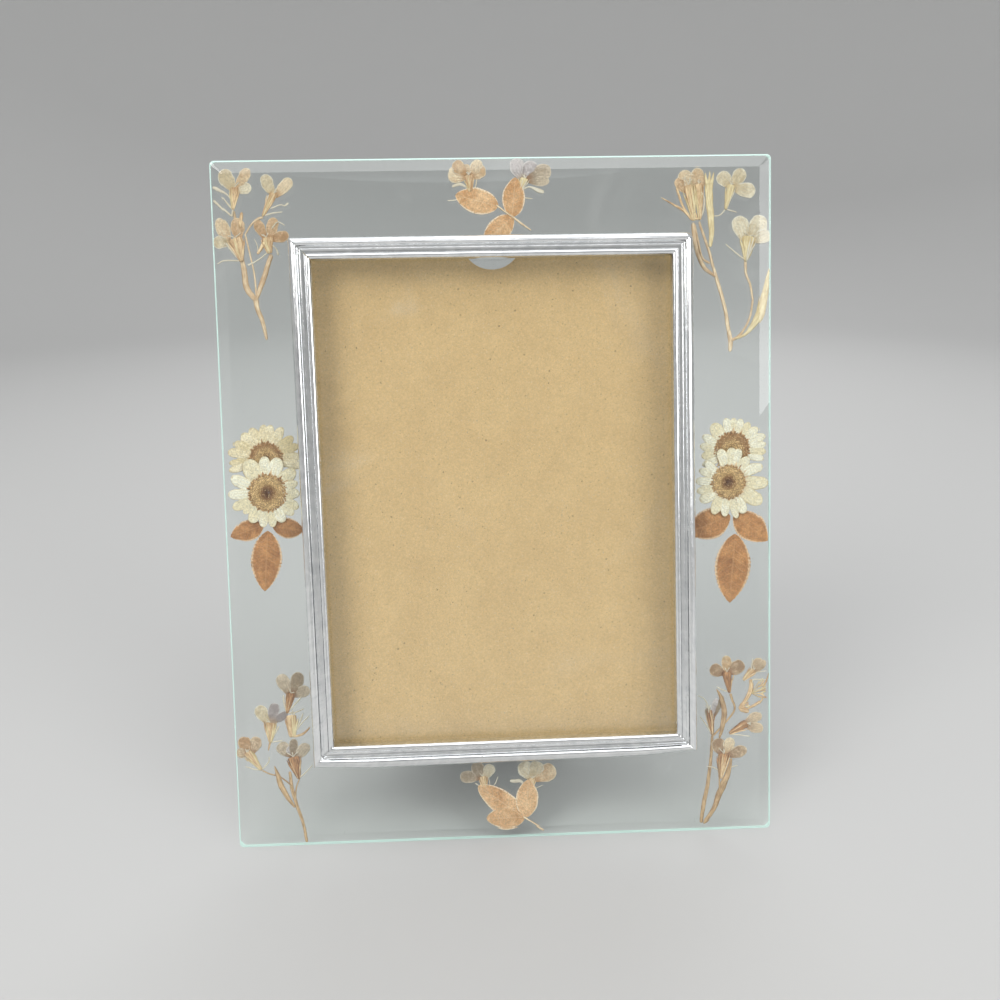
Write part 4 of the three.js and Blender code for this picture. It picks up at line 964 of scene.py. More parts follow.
def calyx(mouth_x, mouth_y, mouth_width, stalk_x, stalk_y, stalk_width, finish="calyx"):
    """A blossom's tube from its mouth down to its stalk: pointed ribs over it, stamens out of it."""
    mouth, foot = np.array([mouth_x, mouth_y]), np.array([stalk_x, stalk_y])
    reach = mouth - foot
    sideways = left_of(unit(reach))
    middle = (mouth + foot) / 2
    bulge = (mouth_width + stalk_width) / 2 * 1.08
    made = [strand([stalk_width, bulge, mouth_width * 0.84, mouth_width * 0.5], foot, middle,
                   mouth - reach * 0.04, mouth + reach * 0.04, finish=finish, thick=0.26, columns=9)]
    paler = {"calyx": "pod", "brown": "calyx", "pod": "white"}[finish]
    for k in range(CALYX_RIBS):
        side = (k + 0.5) / CALYX_RIBS * 2 - 1 + rng.uniform(-0.1, 0.1)
        start = foot + sideways * side * stalk_width * 0.35
        half_way = middle + sideways * side * bulge * 0.5
        flare = 1 + rng.uniform(0, 0.35) * abs(side)
        end = mouth + sideways * side * mouth_width * 0.54 * flare + reach * rng.uniform(-0.14, 0.14)
        thin = mouth_width / CALYX_RIBS * rng.uniform(0.7, 1.1)
        made.append(strand([stalk_width * 0.35, thin, thin * 0.85, 0.1], start, half_way,
                           (half_way + end) / 2 + sideways * side * 0.15, end,
                           finish=paler if rng.uniform() < 0.35 else finish, thick=0.42, columns=5))
    for k in range(STAMENS):
        side = rng.uniform(-0.4, 0.4)
        end = mouth + sideways * side * mouth_width + reach * rng.uniform(0.1, 0.3)
        made.append(whisker([0.2, 0.25, 0.5], middle + sideways * side, mouth, end))
    return made


def daisy_disc(center, radius, dark, rise):
    """A dome of small florets in a sunflower spiral, leaning outward at the rim."""
    spiral_step = math.pi * (3 - math.sqrt(5))
    made = [receptacle(center, radius, 0.0, "disc")]
    for k in range(FLORETS):
        out = math.sqrt((k + 0.5) / FLORETS)
        angle = k * spiral_step
        toward = np.array([math.cos(angle), math.sin(angle)])
        place = center + toward * out * radius * (1 + rng.uniform(-0.03, 0.03))
        size = radius / math.sqrt(FLORETS) * (1.5 + 0.4 * out) * rng.uniform(0.7, 1.25)
        dome = 0.36 * (1 - out**2.5) - 0.14 * math.exp(-((out / 0.2) ** 2)) + rng.uniform(-0.04, 0.04)
        lean = toward * size * (0.2 + 1.3 * out**2) * rng.uniform(0.7, 1.3)
        made.append(floret(place, size, 0.1 + dome * rise, lean, min(out + dark, 1.0)))
    return made


def fan(foot_x, foot_y, count, short, long, first, last):
    """Club-ended stamens that spread from one foot, between two angles in degrees from upright."""
    foot = np.array([foot_x, foot_y])
    made = []
    for angle in np.radians(np.linspace(first, last, count)):
        way = np.array([math.sin(angle), math.cos(angle)])
        end = foot + way * rng.uniform(short, long)
        bend = (foot + end) / 2 + left_of(way) * rng.uniform(-0.4, 0.4)
        tone = "pod" if rng.uniform() < 0.5 else "calyx"
        made.append(strand([0.25, 0.3, 0.7, 0.4], foot, bend, end - way * 0.8, end, finish=tone,
                           thick=0.3, columns=5))
    return made


def receptacle(center, radius, level, finish):
    """A low dome: the one that a daisy's florets stand on, or the one that its bracts meet in."""
    angles = np.linspace(0, 2 * math.pi, DOME_SIDES, endpoint=False)
    ring = np.stack([np.cos(angles), np.sin(angles)], 1)
    points, grain = [], []
    for share, up in ((0.9, 0.0), (1.0, 0.04), (0.9, 0.09), (0.5, 0.14), (0.05, 0.1)):
        circle = center + ring * radius * share
        points.append(np.column_stack([circle, np.full(DOME_SIDES, level + up)]))
        grain.append(np.tile([0, share, 0.2], (DOME_SIDES, 1)))
    return Patch(points, grain, np.array(points), finish)


def floret(place, size, top, lean, out):
    """One floret: a five-sided bud that narrows to a blunt tip."""
    own = rng.uniform(0, 1)
    angles = np.linspace(0, 2 * math.pi, FLORET_SIDES, endpoint=False) + own * 6
    rings = [(0.0, 0.9, 0.0), (0.55, 1.0, 0.35), (0.85, 0.7, 0.8), (1.0, 0.25, 1.0)]
    points, grain, lay = [], [], []
    for up, wide, tip in rings:
        at = place + lean * up
        circle = at + size * 0.62 * wide * np.stack([np.cos(angles), np.sin(angles)], 1)
        points.append(np.column_stack([circle, np.full(FLORET_SIDES, top * up)]))
        grain.append(np.tile([tip, out, own], (FLORET_SIDES, 1)))
        lay.append(np.column_stack([circle - place, np.full(FLORET_SIDES, own * 40)]))
    return Patch(points, grain, lay, "disc")


def pressed(level):
    """Levels held softly between the panes."""
    middle, half = (GAP_LOW + GAP_HIGH) / 2, (GAP_HIGH - GAP_LOW) / 2
    share = (level - middle) / half
    beyond = np.maximum(np.abs(share) - PRESS_START, 0) / (1 - PRESS_START)
    held = np.minimum(np.abs(share), PRESS_START) + (1 - PRESS_START) * np.tanh(beyond)
    return middle + half * np.sign(share) * held


def flower(name, level, slot, *parts):
    """One pressed piece: its parts lie one on the other, from its level up."""
    groups = [part if isinstance(part, list) else [part] for part in parts]
    for k, group in enumerate(groups):
        lift = PILE_HEIGHT * k / max(len(groups) - 1, 1)
        for patch in group:
            patch.points[..., 2] = pressed(patch.points[..., 2] + level + lift)
    patches = [patch for group in groups for patch in group]
    return settle(from_patches(name + "_dried", patches), slot, "frame", name)


def daisy(center_x, center_y, radius, tips, finish="ray", dark=0.0, rise=1.0):
    """A daisy pressed flat: its bracts, brown between the rays as painted shade, its rays over them, then
    the disc.
    """
    center = np.array([center_x, center_y])
    rays = [ray(center, x, y, width, radius * 0.6, finish, rng.uniform(-0.12, 0.12))
            for x, y, width in tips]
    return [bracts_and_shade(center, radius), *rays, daisy_disc(center, radius, dark, rise)]


def bracts_and_shade(center, radius):
    """Pointed bracts under a daisy's rays: they show between the rays, as painted shade, and from behind.
    """
    made = []
    for k in range(BRACTS):
        angle = (k + rng.uniform(-0.25, 0.25)) / BRACTS * 2 * math.pi
        way = np.array([math.cos(angle), math.sin(angle)])
        tip = radius * BRACT_REACH * rng.uniform(0.86, 1.06)
        ends = [center + way * reach for reach in (radius * 0.12, radius * 0.5, radius * 0.9, tip)]
        # The brown bracts reach past the disc to fill the gaps between the rays: partly painted shade.
        bract = strand([0.7, 1.6, 2.2, 0.2], *ends, finish="calyx" if k % 3 else "brown", thick=0.1,
                       columns=5)
        bract.points[..., 2] += rng.uniform(0, 0.08)
        made.append(bract)
    return made + [receptacle(center, radius * 0.3, -0.02, "calyx")]


# ---------------------------------------------------------------- glass and hardware

def rectangle(left, bottom, right, top):
    """Its four corners, anticlockwise."""
    return np.array([(left, bottom), (right, bottom), (right, top), (left, top)], float)


def rounded(corners, radius, steps=6):
    """A closed outline whose corners are rounded."""
    corners = np.asarray(corners, float)
    made = []
    for before, corner, after in zip(np.roll(corners, 1, 0), corners, np.roll(corners, -1, 0)):
        toward, away = unit(before - corner), unit(after - corner)
        for angle in np.linspace(0, math.pi / 2, steps):
            shift = toward * (1 - math.sin(angle)) + away * (1 - math.cos(angle))
            made.append(corner + shift * radius)
    return np.array(made)


def inset(outline, amount):
    """A closed outline, drawn anticlockwise, moved inward all round."""
    outline = np.asarray(outline, float)
    before = left_of(unit(outline - np.roll(outline, 1, 0)))
    after = left_of(unit(np.roll(outline, -1, 0) - outline))
    mitre = (before + after) / (1 + (before * after).sum(1, keepdims=True))
    return outline + mitre * amount


def stacked(rings, finish):
    """A patch from outlines with as many points each, at their levels."""
    points = np.array([np.column_stack([ring, np.full(len(ring), level)]) for ring, level in rings])
    return Patch(points, points * 0, points, finish)


def plate(outline, low, high, chamfer, finish):
    """A flat body between two levels, with a small chamfer round each face."""
    inner = inset(outline, chamfer)
    rings = [(inner, low), (outline, low + chamfer), (outline, high - chamfer), (inner, high)]
    return stacked(rings, finish)


def turned(profile, place, sides):
    """A round zinc body: place gives its points from the distance along, and two across."""
    angles = np.linspace(0, 2 * math.pi, sides, endpoint=False)
    points = np.array([
        [place(along, radius * math.cos(angle), radius * math.sin(angle)) for angle in angles]
        for along, radius in profile
    ])
    return Patch(points, points * 0, points, "zinc")


def pane(name, rings):
    """A clear pane with sharp faces; its ground rim is marked for the glass material."""
    made = from_patches(name + "_clear", [stacked(rings, "glass")], smooth=False)
    columns = len(rings[0][0])
    rim = np.zeros(len(made.data.polygons))
    rim[: RIM_BANDS * columns] = 1
    layer = made.data.attributes.new("edge", "FLOAT", "CORNER")
    corners = np.concatenate([[rim[p.index]] * p.loop_total for p in made.data.polygons])
    layer.data.foreach_set("value", corners.astype(np.float32))
    return settle(made, "glass", "frame", name)


def panes():
    """The bevelled front pane and the plain back one."""
    half = np.array([PANE_WIDTH, PANE_HEIGHT]) / 2
    corners = rectangle(*-half, *half)
    outline = rounded(corners, PANE_CORNER)
    slim = inset(outline, ARRIS)
    face = rounded(inset(corners, BEVEL_WIDTH), BEVEL_CORNER)
    rear = -PANE_THICKNESS
    pane("front_glass", [
        (slim, rear),
        (outline, rear + ARRIS),
        (outline, -BEVEL_DEPTH - ARRIS),
        (slim, -BEVEL_DEPTH),
        (face, 0),
    ])
    front, rear = BACK_PANE_FRONT, BACK_PANE_FRONT - PANE_THICKNESS
    pane("back_glass", [
        (slim, rear),
        (outline, rear + ARRIS),
        (outline, front - ARRIS),
        (slim, front),
    ])


def window_corner(k, out):
    """A corner of the window, moved out with its two sides."""
    ring = WINDOW[::-1]
    return inset(ring, -out)[::-1][k % 4]


def rail_profile():
    """The moulding's section from its outer foot over to its inner foot: (out, height) pairs."""
    rows = [(RAIL_WIDTH, 0), (RAIL_WIDTH, OUTER_BEAD_FOOT * 0.5)]
    for angle in np.linspace(0, math.pi, OUTER_BEAD_STEPS):
        out = OUTER_BEAD_MIDDLE + (RAIL_WIDTH - OUTER_BEAD_MIDDLE) * math.cos(angle)
        crest = math.pi * (angle / math.pi) ** OUTER_BEAD_LEAN
        height = OUTER_BEAD_FOOT + OUTER_BEAD_RISE * max(math.sin(crest), 0.0) ** 0.8
        for groove in OUTER_GROOVES:
            height -= GROOVE_DEPTH * math.exp(-(((out - groove) / GROOVE_WIDTH) ** 2))
        rows.append((out, height))
    inner_edge = 2 * INNER_BEAD_MIDDLE
    outer_edge = rows[-1][0]
    for share in np.linspace(0, 1, COVE_STEPS)[1:-1]:
        out = outer_edge + (inner_edge - outer_edge) * share
        height = COVE_HEIGHT + RIDGE_RISE * math.exp(-(((out - RIDGE_OUT) / RIDGE_WIDTH) ** 2))
        rows.append((out, height))
    for angle in np.linspace(0, math.pi, INNER_BEAD_STEPS):
        out = INNER_BEAD_MIDDLE * (1 + math.cos(angle))
        rows.append((out, INNER_BEAD_FOOT + INNER_BEAD_RISE * math.sin(angle)))
    rows += [(0.0, INNER_BEAD_FOOT * 0.6), (0.0, 0.0)]
    return np.array(rows)


def corner_radius(k, out):
    """The strip is bent round at the top right; the other corners are folded sharp."""
    return max(out - RAIL_WIDTH + RAIL_BEND_RADIUS, FOLD_RADIUS) if k == TOP_RIGHT else FOLD_RADIUS


def rail_path(out):
    """The line that the strip's point at this distance out follows, from seam to seam."""
    line = []
    for k in range(4):
        start, end = window_corner(k, out), window_corner(k + 1, out)
        ahead = unit(end - start)
        trim_start = RAIL_SEAM / 2 if k == 0 else corner_radius(k, out)
        trim_end = RAIL_SEAM / 2 if k == 3 else corner_radius((k + 1) % 4, out)
        length = np.hypot(*(end - start)) - trim_start - trim_end
        open_run = np.linspace(CORNER_STEPS[-1], length - CORNER_STEPS[-1], RAIL_STATIONS)[1:-1]
        run = np.concatenate([CORNER_STEPS, open_run, length - CORNER_STEPS[::-1]])
        line.append(start + ahead * trim_start + ahead * run[:, None])
        if k < 3:
            onward = unit(window_corner(k + 2, out) - end)
            for angle in np.linspace(0, math.pi / 2, BEND_STEPS + 2)[1:-1]:
                back, on = 1 - math.sin(angle), 1 - math.cos(angle)
                line.append([end + (onward * on - ahead * back) * corner_radius(k + 1, out)])
    return np.concatenate(line)


def moulding():
    """One strip of silver moulding, bent and folded round the window from seam to seam."""
    profile = rail_profile()
    paths = np.stack([rail_path(out) for out in profile[:, 0]], 1)
    points = np.dstack([paths, np.broadcast_to(profile[:, 1], paths.shape[:2])])
    steps = np.linalg.norm(np.diff(points[:, 0, :2], axis=0), axis=1)
    along = np.concatenate([[0], np.cumsum(steps)])
    share = along[:, None] / along[-1]
    out = profile[:, 0][None, :]
    waver = wavy(RAIL_WAVER, share * 9)
    points[..., :2] += rail_side(points) * waver[..., None]
    points[..., 1] -= BOTTOM_BOW * bottom_bow(points) * (out / RAIL_WIDTH) ** 2
    height = points[..., 2] * (1 + wavy(0.008, share * 11, out * 0.4))
    height += FOLD_RISE * near_fold(points) * (profile[:, 1] > 1)
    points[..., 2] = RAIL_BASE + np.maximum(height, 0)
    lay = np.dstack([out + 0 * height, along[:, None] + 0 * height, height])
    patch = Patch(points, lay * 0, lay, "silver")
    strip = from_patches("moulding_strip", [patch])
    strip.data.set_sharp_from_angle(angle=SHARP_ANGLE)
    settle(strip, "silver", "frame", "moulding")


def rail_side(points):
    """The way out from the window, square to each rail, fading to nothing before the corners."""
    away = points[..., :2] - WINDOW.mean(0)
    half = np.ptp(WINDOW, 0) / 2
    beside = np.clip((half - np.abs(away)) / CORNER_FADE, 0, 1)[..., ::-1]
    return np.sign(away) * beside * (np.abs(away) > half - 1)


def bottom_bow(points):
    """How far the bottom rail's outer edge strays: out on the left, in on the right."""
    x, y = points[..., 0], points[..., 1]
    low = np.clip((-80 - y) / 8, 0, 1)
    return low * np.interp(x, BOW_X, BOW_OUT)


def near_fold(points):
    """1 on the fold of each sharp corner, fading within its width."""
    total = 0.0
    for k in SHARP_CORNERS:
        inner, outer = window_corner(k, 0), window_corner(k, RAIL_WIDTH)
        along_fold = unit(outer - inner)
        side = (points[..., :2] - inner) @ left_of(along_fold)
        ahead = (points[..., :2] - inner) @ along_fold
        total = total + np.exp(-((side / FOLD_WIDTH) ** 2)) * (ahead > -1) * (ahead < FOLD_LENGTH)
    return total


def spacer_tape():
    """Strips of clear mounting tape that join the panes, under the moulding."""
    half = TAPE_WIDTH / 2
    rows = []
    for angle in np.linspace(0, 2 * math.pi, TAPE_SIDES, endpoint=False):
        out = TAPE_INSET + half + half * squared(math.cos(angle))
        rows.append((out, TAPE_MIDDLE + TAPE_HALF_THICKNESS * squared(math.sin(angle))))
    patches = []
    for k in range(4):
        share = np.linspace(0, 1, TAPE_STATIONS)
        columns = []
        for out, level in rows:
            start, end = window_corner(k, out), window_corner(k + 1, out)
            trim = unit(end - start) * TAPE_BUTT
            line = start + trim + (end - start - 2 * trim) * share[:, None]
            columns.append(np.column_stack([line, np.full(len(share), level)]))
        points = np.stack(columns, 1)
        edge = 1 + wavy(0.012, share * 12)[:, None]
        points[..., 2] = TAPE_MIDDLE + (points[..., 2] - TAPE_MIDDLE) * edge
        patches.append(Patch(points, points * 0, points, "tape"))
    settle(from_patches("spacer_tape_strips", patches), "tape", "frame", "spacer_tape")


def squared(wave):
    """A sine or cosine pushed towards its ends, for a section with round corners."""
    return math.copysign(abs(wave) ** 0.4, wave)


def backing_board():
    """The kraft board with its thumb notch, its raw edge, and black flock on its back."""
    notch_y = NOTCH_LOWEST + NOTCH_RADIUS
    reach = math.sqrt(NOTCH_RADIUS**2 - (notch_y - BOARD_TOP) ** 2)
    start = math.atan2(BOARD_TOP - notch_y, reach)
    arc = [
        (NOTCH_X + NOTCH_RADIUS * math.cos(angle), notch_y + NOTCH_RADIUS * math.sin(angle))
        for angle in np.linspace(start, -math.pi - start, NOTCH_STEPS)
    ]
    corners = rectangle(BOARD_LEFT, BOARD_BOTTOM, BOARD_RIGHT, BOARD_TOP)
    box = rounded(corners, BOARD_CORNER, BOARD_CORNER_STEPS)
    third_corner = 3 * BOARD_CORNER_STEPS
    outline = np.concatenate([box[:third_corner], arc, box[third_corner:]])
    rear = BOARD_FRONT - BOARD_THICKNESS
    bands = ["flock", "chipboard", "kraft", "flock", "kraft"]
    patch = plate(outline, rear, BOARD_FRONT, BOARD_CHAMFER, bands)
    settle(from_patches("backing_board_kraft", [patch], smooth=False), "kraft_board", "frame",
           "backing_board")


def channels():
    """The sheet-metal channels keep their CAD shape, with the edges broken."""
    for side in ("left", "right", "bottom"):
        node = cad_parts["channel_" + side]
        node.data.materials.clear()
        node.data.materials.append(FINISHES["zinc"])
        edges = node.modifiers.new("broken_edges", "BEVEL")
        edges.width = CHANNEL_BREAK * MM
        edges.segments = 2
        edges.limit_method = "ANGLE"


def knuckle(middle, length):
    """One roll of the hinge's barrel, bored for the pin, with soft ends."""
    half, soft = length / 2, KNUCKLE_SOFT_END
    profile = [
        (-half, PIN_RADIUS + PIN_PLAY),
        (-half, KNUCKLE_RADIUS - soft),
        (-half + soft * 0.3, KNUCKLE_RADIUS - soft * 0.3),
        (-half + soft, KNUCKLE_RADIUS),
        (half - soft, KNUCKLE_RADIUS),
        (half - soft * 0.3, KNUCKLE_RADIUS - soft * 0.3),
        (half, KNUCKLE_RADIUS - soft),
        (half, PIN_RADIUS + PIN_PLAY),
    ]
    return turned(profile, lambda along, a, b: (middle + along, a, b), KNUCKLE_SIDES)


def hinge():
    """A small butt hinge: each leaf with its own knuckles on one pin."""
    half = HINGE_WIDTH / 2
    third = HINGE_WIDTH / 3
    board_rear = BOARD_FRONT - BOARD_THICKNESS - JOINT_GAP
    low = board_rear - HINGE_SHEET - HINGE_Z
    leaf = rounded(rectangle(-half, KNUCKLE_RADIUS + JOINT_GAP, half, HINGE_LEAF), HINGE_CORNER)
    neck = rectangle(-third / 2 + JOINT_GAP, NECK_NEAR, third / 2 - JOINT_GAP, NECK_FAR)
    board_leaf = [
        plate(leaf, low, low + HINGE_SHEET, SHEET_BREAK, "zinc"),
        plate(neck, low - 0.1, low + HINGE_SHEET, SHEET_BREAK, "zinc"),
        knuckle(0, third - 2 * JOINT_GAP),
    ]
    settle(from_patches("hinge_leaf_on_board", board_leaf, pin_to_row), "steel", "frame",
           "hinge_board_leaf")
    leaf = rounded(rectangle(-half, -HINGE_LEAF, half, -KNUCKLE_RADIUS - JOINT_GAP), HINGE_CORNER)
    strut_leaf = [plate(leaf, -HINGE_SHEET / 2, HINGE_SHEET / 2, SHEET_BREAK, "zinc")]
    for side in (-1, 1):
        edges = sorted((side * third / 2, side * half))
        neck = rectangle(edges[0], -NECK_FAR, edges[1], -NECK_NEAR)
        strut_leaf.append(plate(neck, -HINGE_SHEET / 2, HINGE_SHEET / 2, SHEET_BREAK, "zinc"))
        strut_leaf.append(knuckle(side * (half + third / 2) / 2, half - third / 2))
    settle(from_patches("hinge_leaf_on_strut", strut_leaf, strut_to_row), "steel", "strut",
           "hinge_strut_leaf")
    end = PIN_LENGTH / 2
    profile = [(-end, 0.15), (-end + 0.1, 0.4), (-end + 0.3, PIN_RADIUS)]
    profile += [(-along, radius) for along, radius in reversed(profile)]
    pin = turned(profile, lambda along, a, b: (along, a, b), PIN_SIDES)
    settle(from_patches("hinge_pin_round", [pin], pin_to_row), "steel", "frame", "hinge_pin")


def rivets():
    """Domed rivet heads, two through each leaf of the hinge."""
    board_low = BOARD_FRONT - BOARD_THICKNESS - JOINT_GAP - HINGE_SHEET - HINGE_Z
    for k in range(4):
        on_strut = k >= 2
        x = -RIVET_X if k % 2 == 0 else RIVET_X
        y = -RIVET_DROP if on_strut else RIVET_DROP
        face = HINGE_SHEET / 2 if on_strut else board_low
        way = 1 if on_strut else -1
        profile = [(JOINT_GAP * 0.5, RIVET_RADIUS - 0.12), (JOINT_GAP * 0.8, RIVET_RADIUS)]
        for angle in np.linspace(0.12, math.pi / 2 - 0.03, 9):
            profile.append((JOINT_GAP + RIVET_HEIGHT * math.sin(angle), RIVET_RADIUS * math.cos(angle)))
        head = turned(profile, lambda along, a, b: (x + a, y + b, face + way * along), RIVET_SIDES)
        body, place = ("strut", strut_to_row) if on_strut else ("frame", pin_to_row)
        settle(from_patches(f"rivet_{k + 1}_domed", [head], place), "steel", body,
               f"hinge_rivet_{k + 1}")


def pin_to_row(points):
    """Points drawn round the hinge pin, as metres of the row frame."""
    return to_row(np.asarray(points, float) + (0, HINGE_Y, HINGE_Z))


def strut_to_row(points):
    """Points drawn on the hanging strut, as metres of the row frame."""
    return to_row(strut_to_plane(points))


def strut():
    """The easel leg: flocked board, wider at the foot, which is cut to stand flat."""
    slope = STRUT_OPEN - LEAN
    near = HINGE_SHEET / 2 + JOINT_GAP
    far = near + STRUT_THICKNESS
    axis_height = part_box("hinge_pin")[0].z / 2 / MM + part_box("hinge_pin")[1].z / 2 / MM

    def outline(behind):
        foot = -(axis_height + behind * math.sin(slope)) / math.cos(slope)
        top, bottom = STRUT_TOP_WIDTH / 2, STRUT_FOOT_WIDTH / 2
        corners = [(-bottom, foot), (bottom, foot), (top, -STRUT_TOP_DROP), (-top, -STRUT_TOP_DROP)]
        return rounded(corners, STRUT_CORNER, 7)

    rings = []
    for behind, inward in ((far, BOARD_CHAMFER), (far - BOARD_CHAMFER, 0),
                           (near + BOARD_CHAMFER, 0), (near, BOARD_CHAMFER)):
        rings.append((inset(outline(behind), inward), -behind))
    leg = stacked(rings, ["flock", "chipboard", "flock", "flock", "flock"])
    settle(from_patches("strut_leg", [leg], strut_to_row, smooth=False), "black_board", "strut",
           "strut")


# ---------------------------------------------------------------- pressed flowers

def top_left_spray():
    """A forked stem with four blossoms."""
    flower(
        "top_left_stem", BACK, "straw_stem",
        strand([1, 1.5, 1.7, 2], (-83.9, 63.3), (-85, 69.5), (-86.6, 74), (-87.4, 78.4)),
        strand([1.8, 2.2, 2, 1.4], (-87.3, 77.6), (-90.2, 82), (-91, 88), (-91.7, 93)),
        strand([1.2, 2, 1.8, 1.6], (-87.2, 77.6), (-84.8, 83.5), (-82.6, 89.5), (-81, 94)),
        strand([0.7, 0.6], (-86.9, 79), (-87.4, 87), (-89, 96), (-90.1, 101.4)),
        strand([0.6, 0.8, 1], (-90.2, 100.8), (-88.2, 104), (-85.6, 106.4), (-83.4, 107.2)),
        strand([1, 1.2], (-93.9, 109.6), (-93.4, 107), (-92.6, 104.5), (-91.9, 98)),
        strand([1.2, 1.4], (-91.9, 98.5), (-91.6, 92)),
    )
    flower(
        "top_left_blossom_1", FRONT, "pale_petal",
        petal(-93.2, 116.2, -97.2, 123.6, 5.3, "pale"),
        petal(-93.1, 116.2, -87.7, 123.9, 3.9),
        petal(-92.9, 116.2, -87.1, 118, 4.2, "pale"),
        calyx(-93, 117.4, 3.6, -93.9, 109.8, 1.1),
        whisker([0.9, 1.3, 0.5, 0.5], (-100.6, 117.9), (-99, 117.2), (-95.6, 115), (-93.6, 112)),
        whisker([0.4, 0.8], (-97.4, 114.4), (-95.6, 111.8), (-93.9, 109.9)),
        whisker([1, 0.7, 0.6], (-100.6, 113.3), (-97.4, 110.3), (-94.3, 107.4)),
        whisker([0.6, 0.7], (-94.4, 107.3), (-93.8, 110.4)),
    )
    flower(
        "top_left_blossom_2", MIDDLE, "pale_petal",
        petal(-95.6, 97.6, -99.1, 107, 4.7),
        petal(-94.8, 98.4, -101.3, 98.6, 4.6, "pale"),
        petal(-92.4, 98.5, -92.7, 107, 5.1, "tan"),
        sepal([1.2, 1.3, 0.9], (-91.8, 103.5), (-91.2, 107), (-90.9, 109)),
        calyx(-93.4, 99.6, 6.2, -91.6, 91.4, 1.4),
        whisker([0.9, 0.6], (-97, 98.2), (-94.8, 95), (-92.2, 91.8)),
        whisker([0.4, 0.6], (-100.2, 90.8), (-97.4, 91.9), (-92.2, 91.8)),
    )
    flower(
        "top_left_blossom_3", FRONT, "pale_petal",
        petal(-79.3, 114.6, -82.6, 122, 4.6, "pale"),
        petal(-78.6, 114.2, -72.7, 120.4, 4.4),
        calyx(-79.3, 115.2, 3.2, -83.4, 107.3, 1),
        whisker([0.5, 0.7], (-81, 114.8), (-82.2, 111), (-83, 108.2)),
        whisker([0.6, 0.4, 0.9], (-80.6, 110), (-77, 111.3), (-75.4, 111), (-74, 111.9)),
        whisker([0.7, 0.4], (-82.6, 107.6), (-79.8, 108.4), (-76.1, 108.8)),
    )
    flower(
        "top_left_blossom_4", MIDDLE, "pale_petal",
        petal(-82.6, 99, -86, 106.2, 3.8, "tan"),
        petal(-81.4, 98.6, -79.4, 107, 4.3, "tan"),
        petal(-81.6, 99, -74.4, 100.9, 4.1, "tan"),
        calyx(-82.4, 99.8, 4.4, -81.4, 94.2, 2),
        sepal([1.6, 1], (-83.2, 98.4), (-84.6, 96), (-85.9, 94)),
        whisker([0.3, 0.4], (-86.8, 99.5), (-85.8, 97), (-85.7, 94)),
        whisker([0.5, 0.5, 0.8], (-80.6, 96.2), (-84.6, 92.7), (-88.2, 90.7), (-89.5, 90.2)),
        whisker([0.4, 0.4, 1], (-80.8, 97.4), (-79.2, 96), (-78.4, 93.5)),
        whisker([0.6, 0.4], (-80.4, 103), (-78.2, 105.3), (-75.6, 104.1)),
    )


def top_sprig():
    """Three pale leaves with a blossom on either side."""
    flower(
        "top_leaf_sprig", MIDDLE, "dry_leaf",
        dried_leaf(1.6, 109.8, -13.9, 114, 9.4, "apricot", blunt=0.12),
        dried_leaf(6.6, 105.9, 8, 120, 8.5, "apricot", blunt=0.14),
        dried_leaf(6.8, 106.1, -3.8, 96.6, 8.6, "apricot", blunt=0.14),
        strand([0.6, 0.7, 0.8, 0.5], (0.9, 110.2), (6.3, 106.2), (9.4, 103.9), (13.4, 101)),
    )
    flower(
        "top_blossom_left", BACK, "pale_petal",
        petal(-9.6, 120.4, -16.4, 121.4, 5.6),
        petal(-9.2, 119.8, -9.9, 124.6, 3.2),
        petal(-8.6, 120.2, -3, 123.4, 5.2),
        petal(-9.8, 121.2, -14.2, 125.4, 4.8),
        petal(-8.2, 120.6, -4.6, 126, 4.2),
        calyx(-8.8, 120.8, 3.6, -8.4, 115, 1.6),
        whisker([1, 1.2, 0.5], (-15, 117), (-13.4, 117.6), (-11.6, 117.8), (-8.6, 116)),
        whisker([0.5, 0.5], (-5.9, 119.9), (-6.5, 117), (-8.2, 115.6)),
        whisker([0.4, 0.5], (-16.8, 112.1), (-13, 112.6), (-8.4, 115.6)),
    )
    flower(
        "top_blossom_right", BACK, "pale_petal",
        petal(10.8, 119, 7.6, 126.4, 5.4, "lilac"),
        petal(11, 118.8, 15.2, 125, 6, "lilac"),
        petal(12, 119.2, 21, 122.6, 5.6, "grey"),
        petal(12, 118.8, 20.4, 118.6, 3.8, "grey"),
        calyx(11.4, 119.6, 3.4, 9.6, 115, 1.4, "pod"),
        whisker([0.5, 0.5, 1.6, 1.2], (9.8, 115.2), (13, 116.6), (16.4, 115.3), (18.4, 114.6)),
        whisker([0.5, 0.4], (9.6, 115.2), (10.8, 113), (14.2, 112.4)),
    )


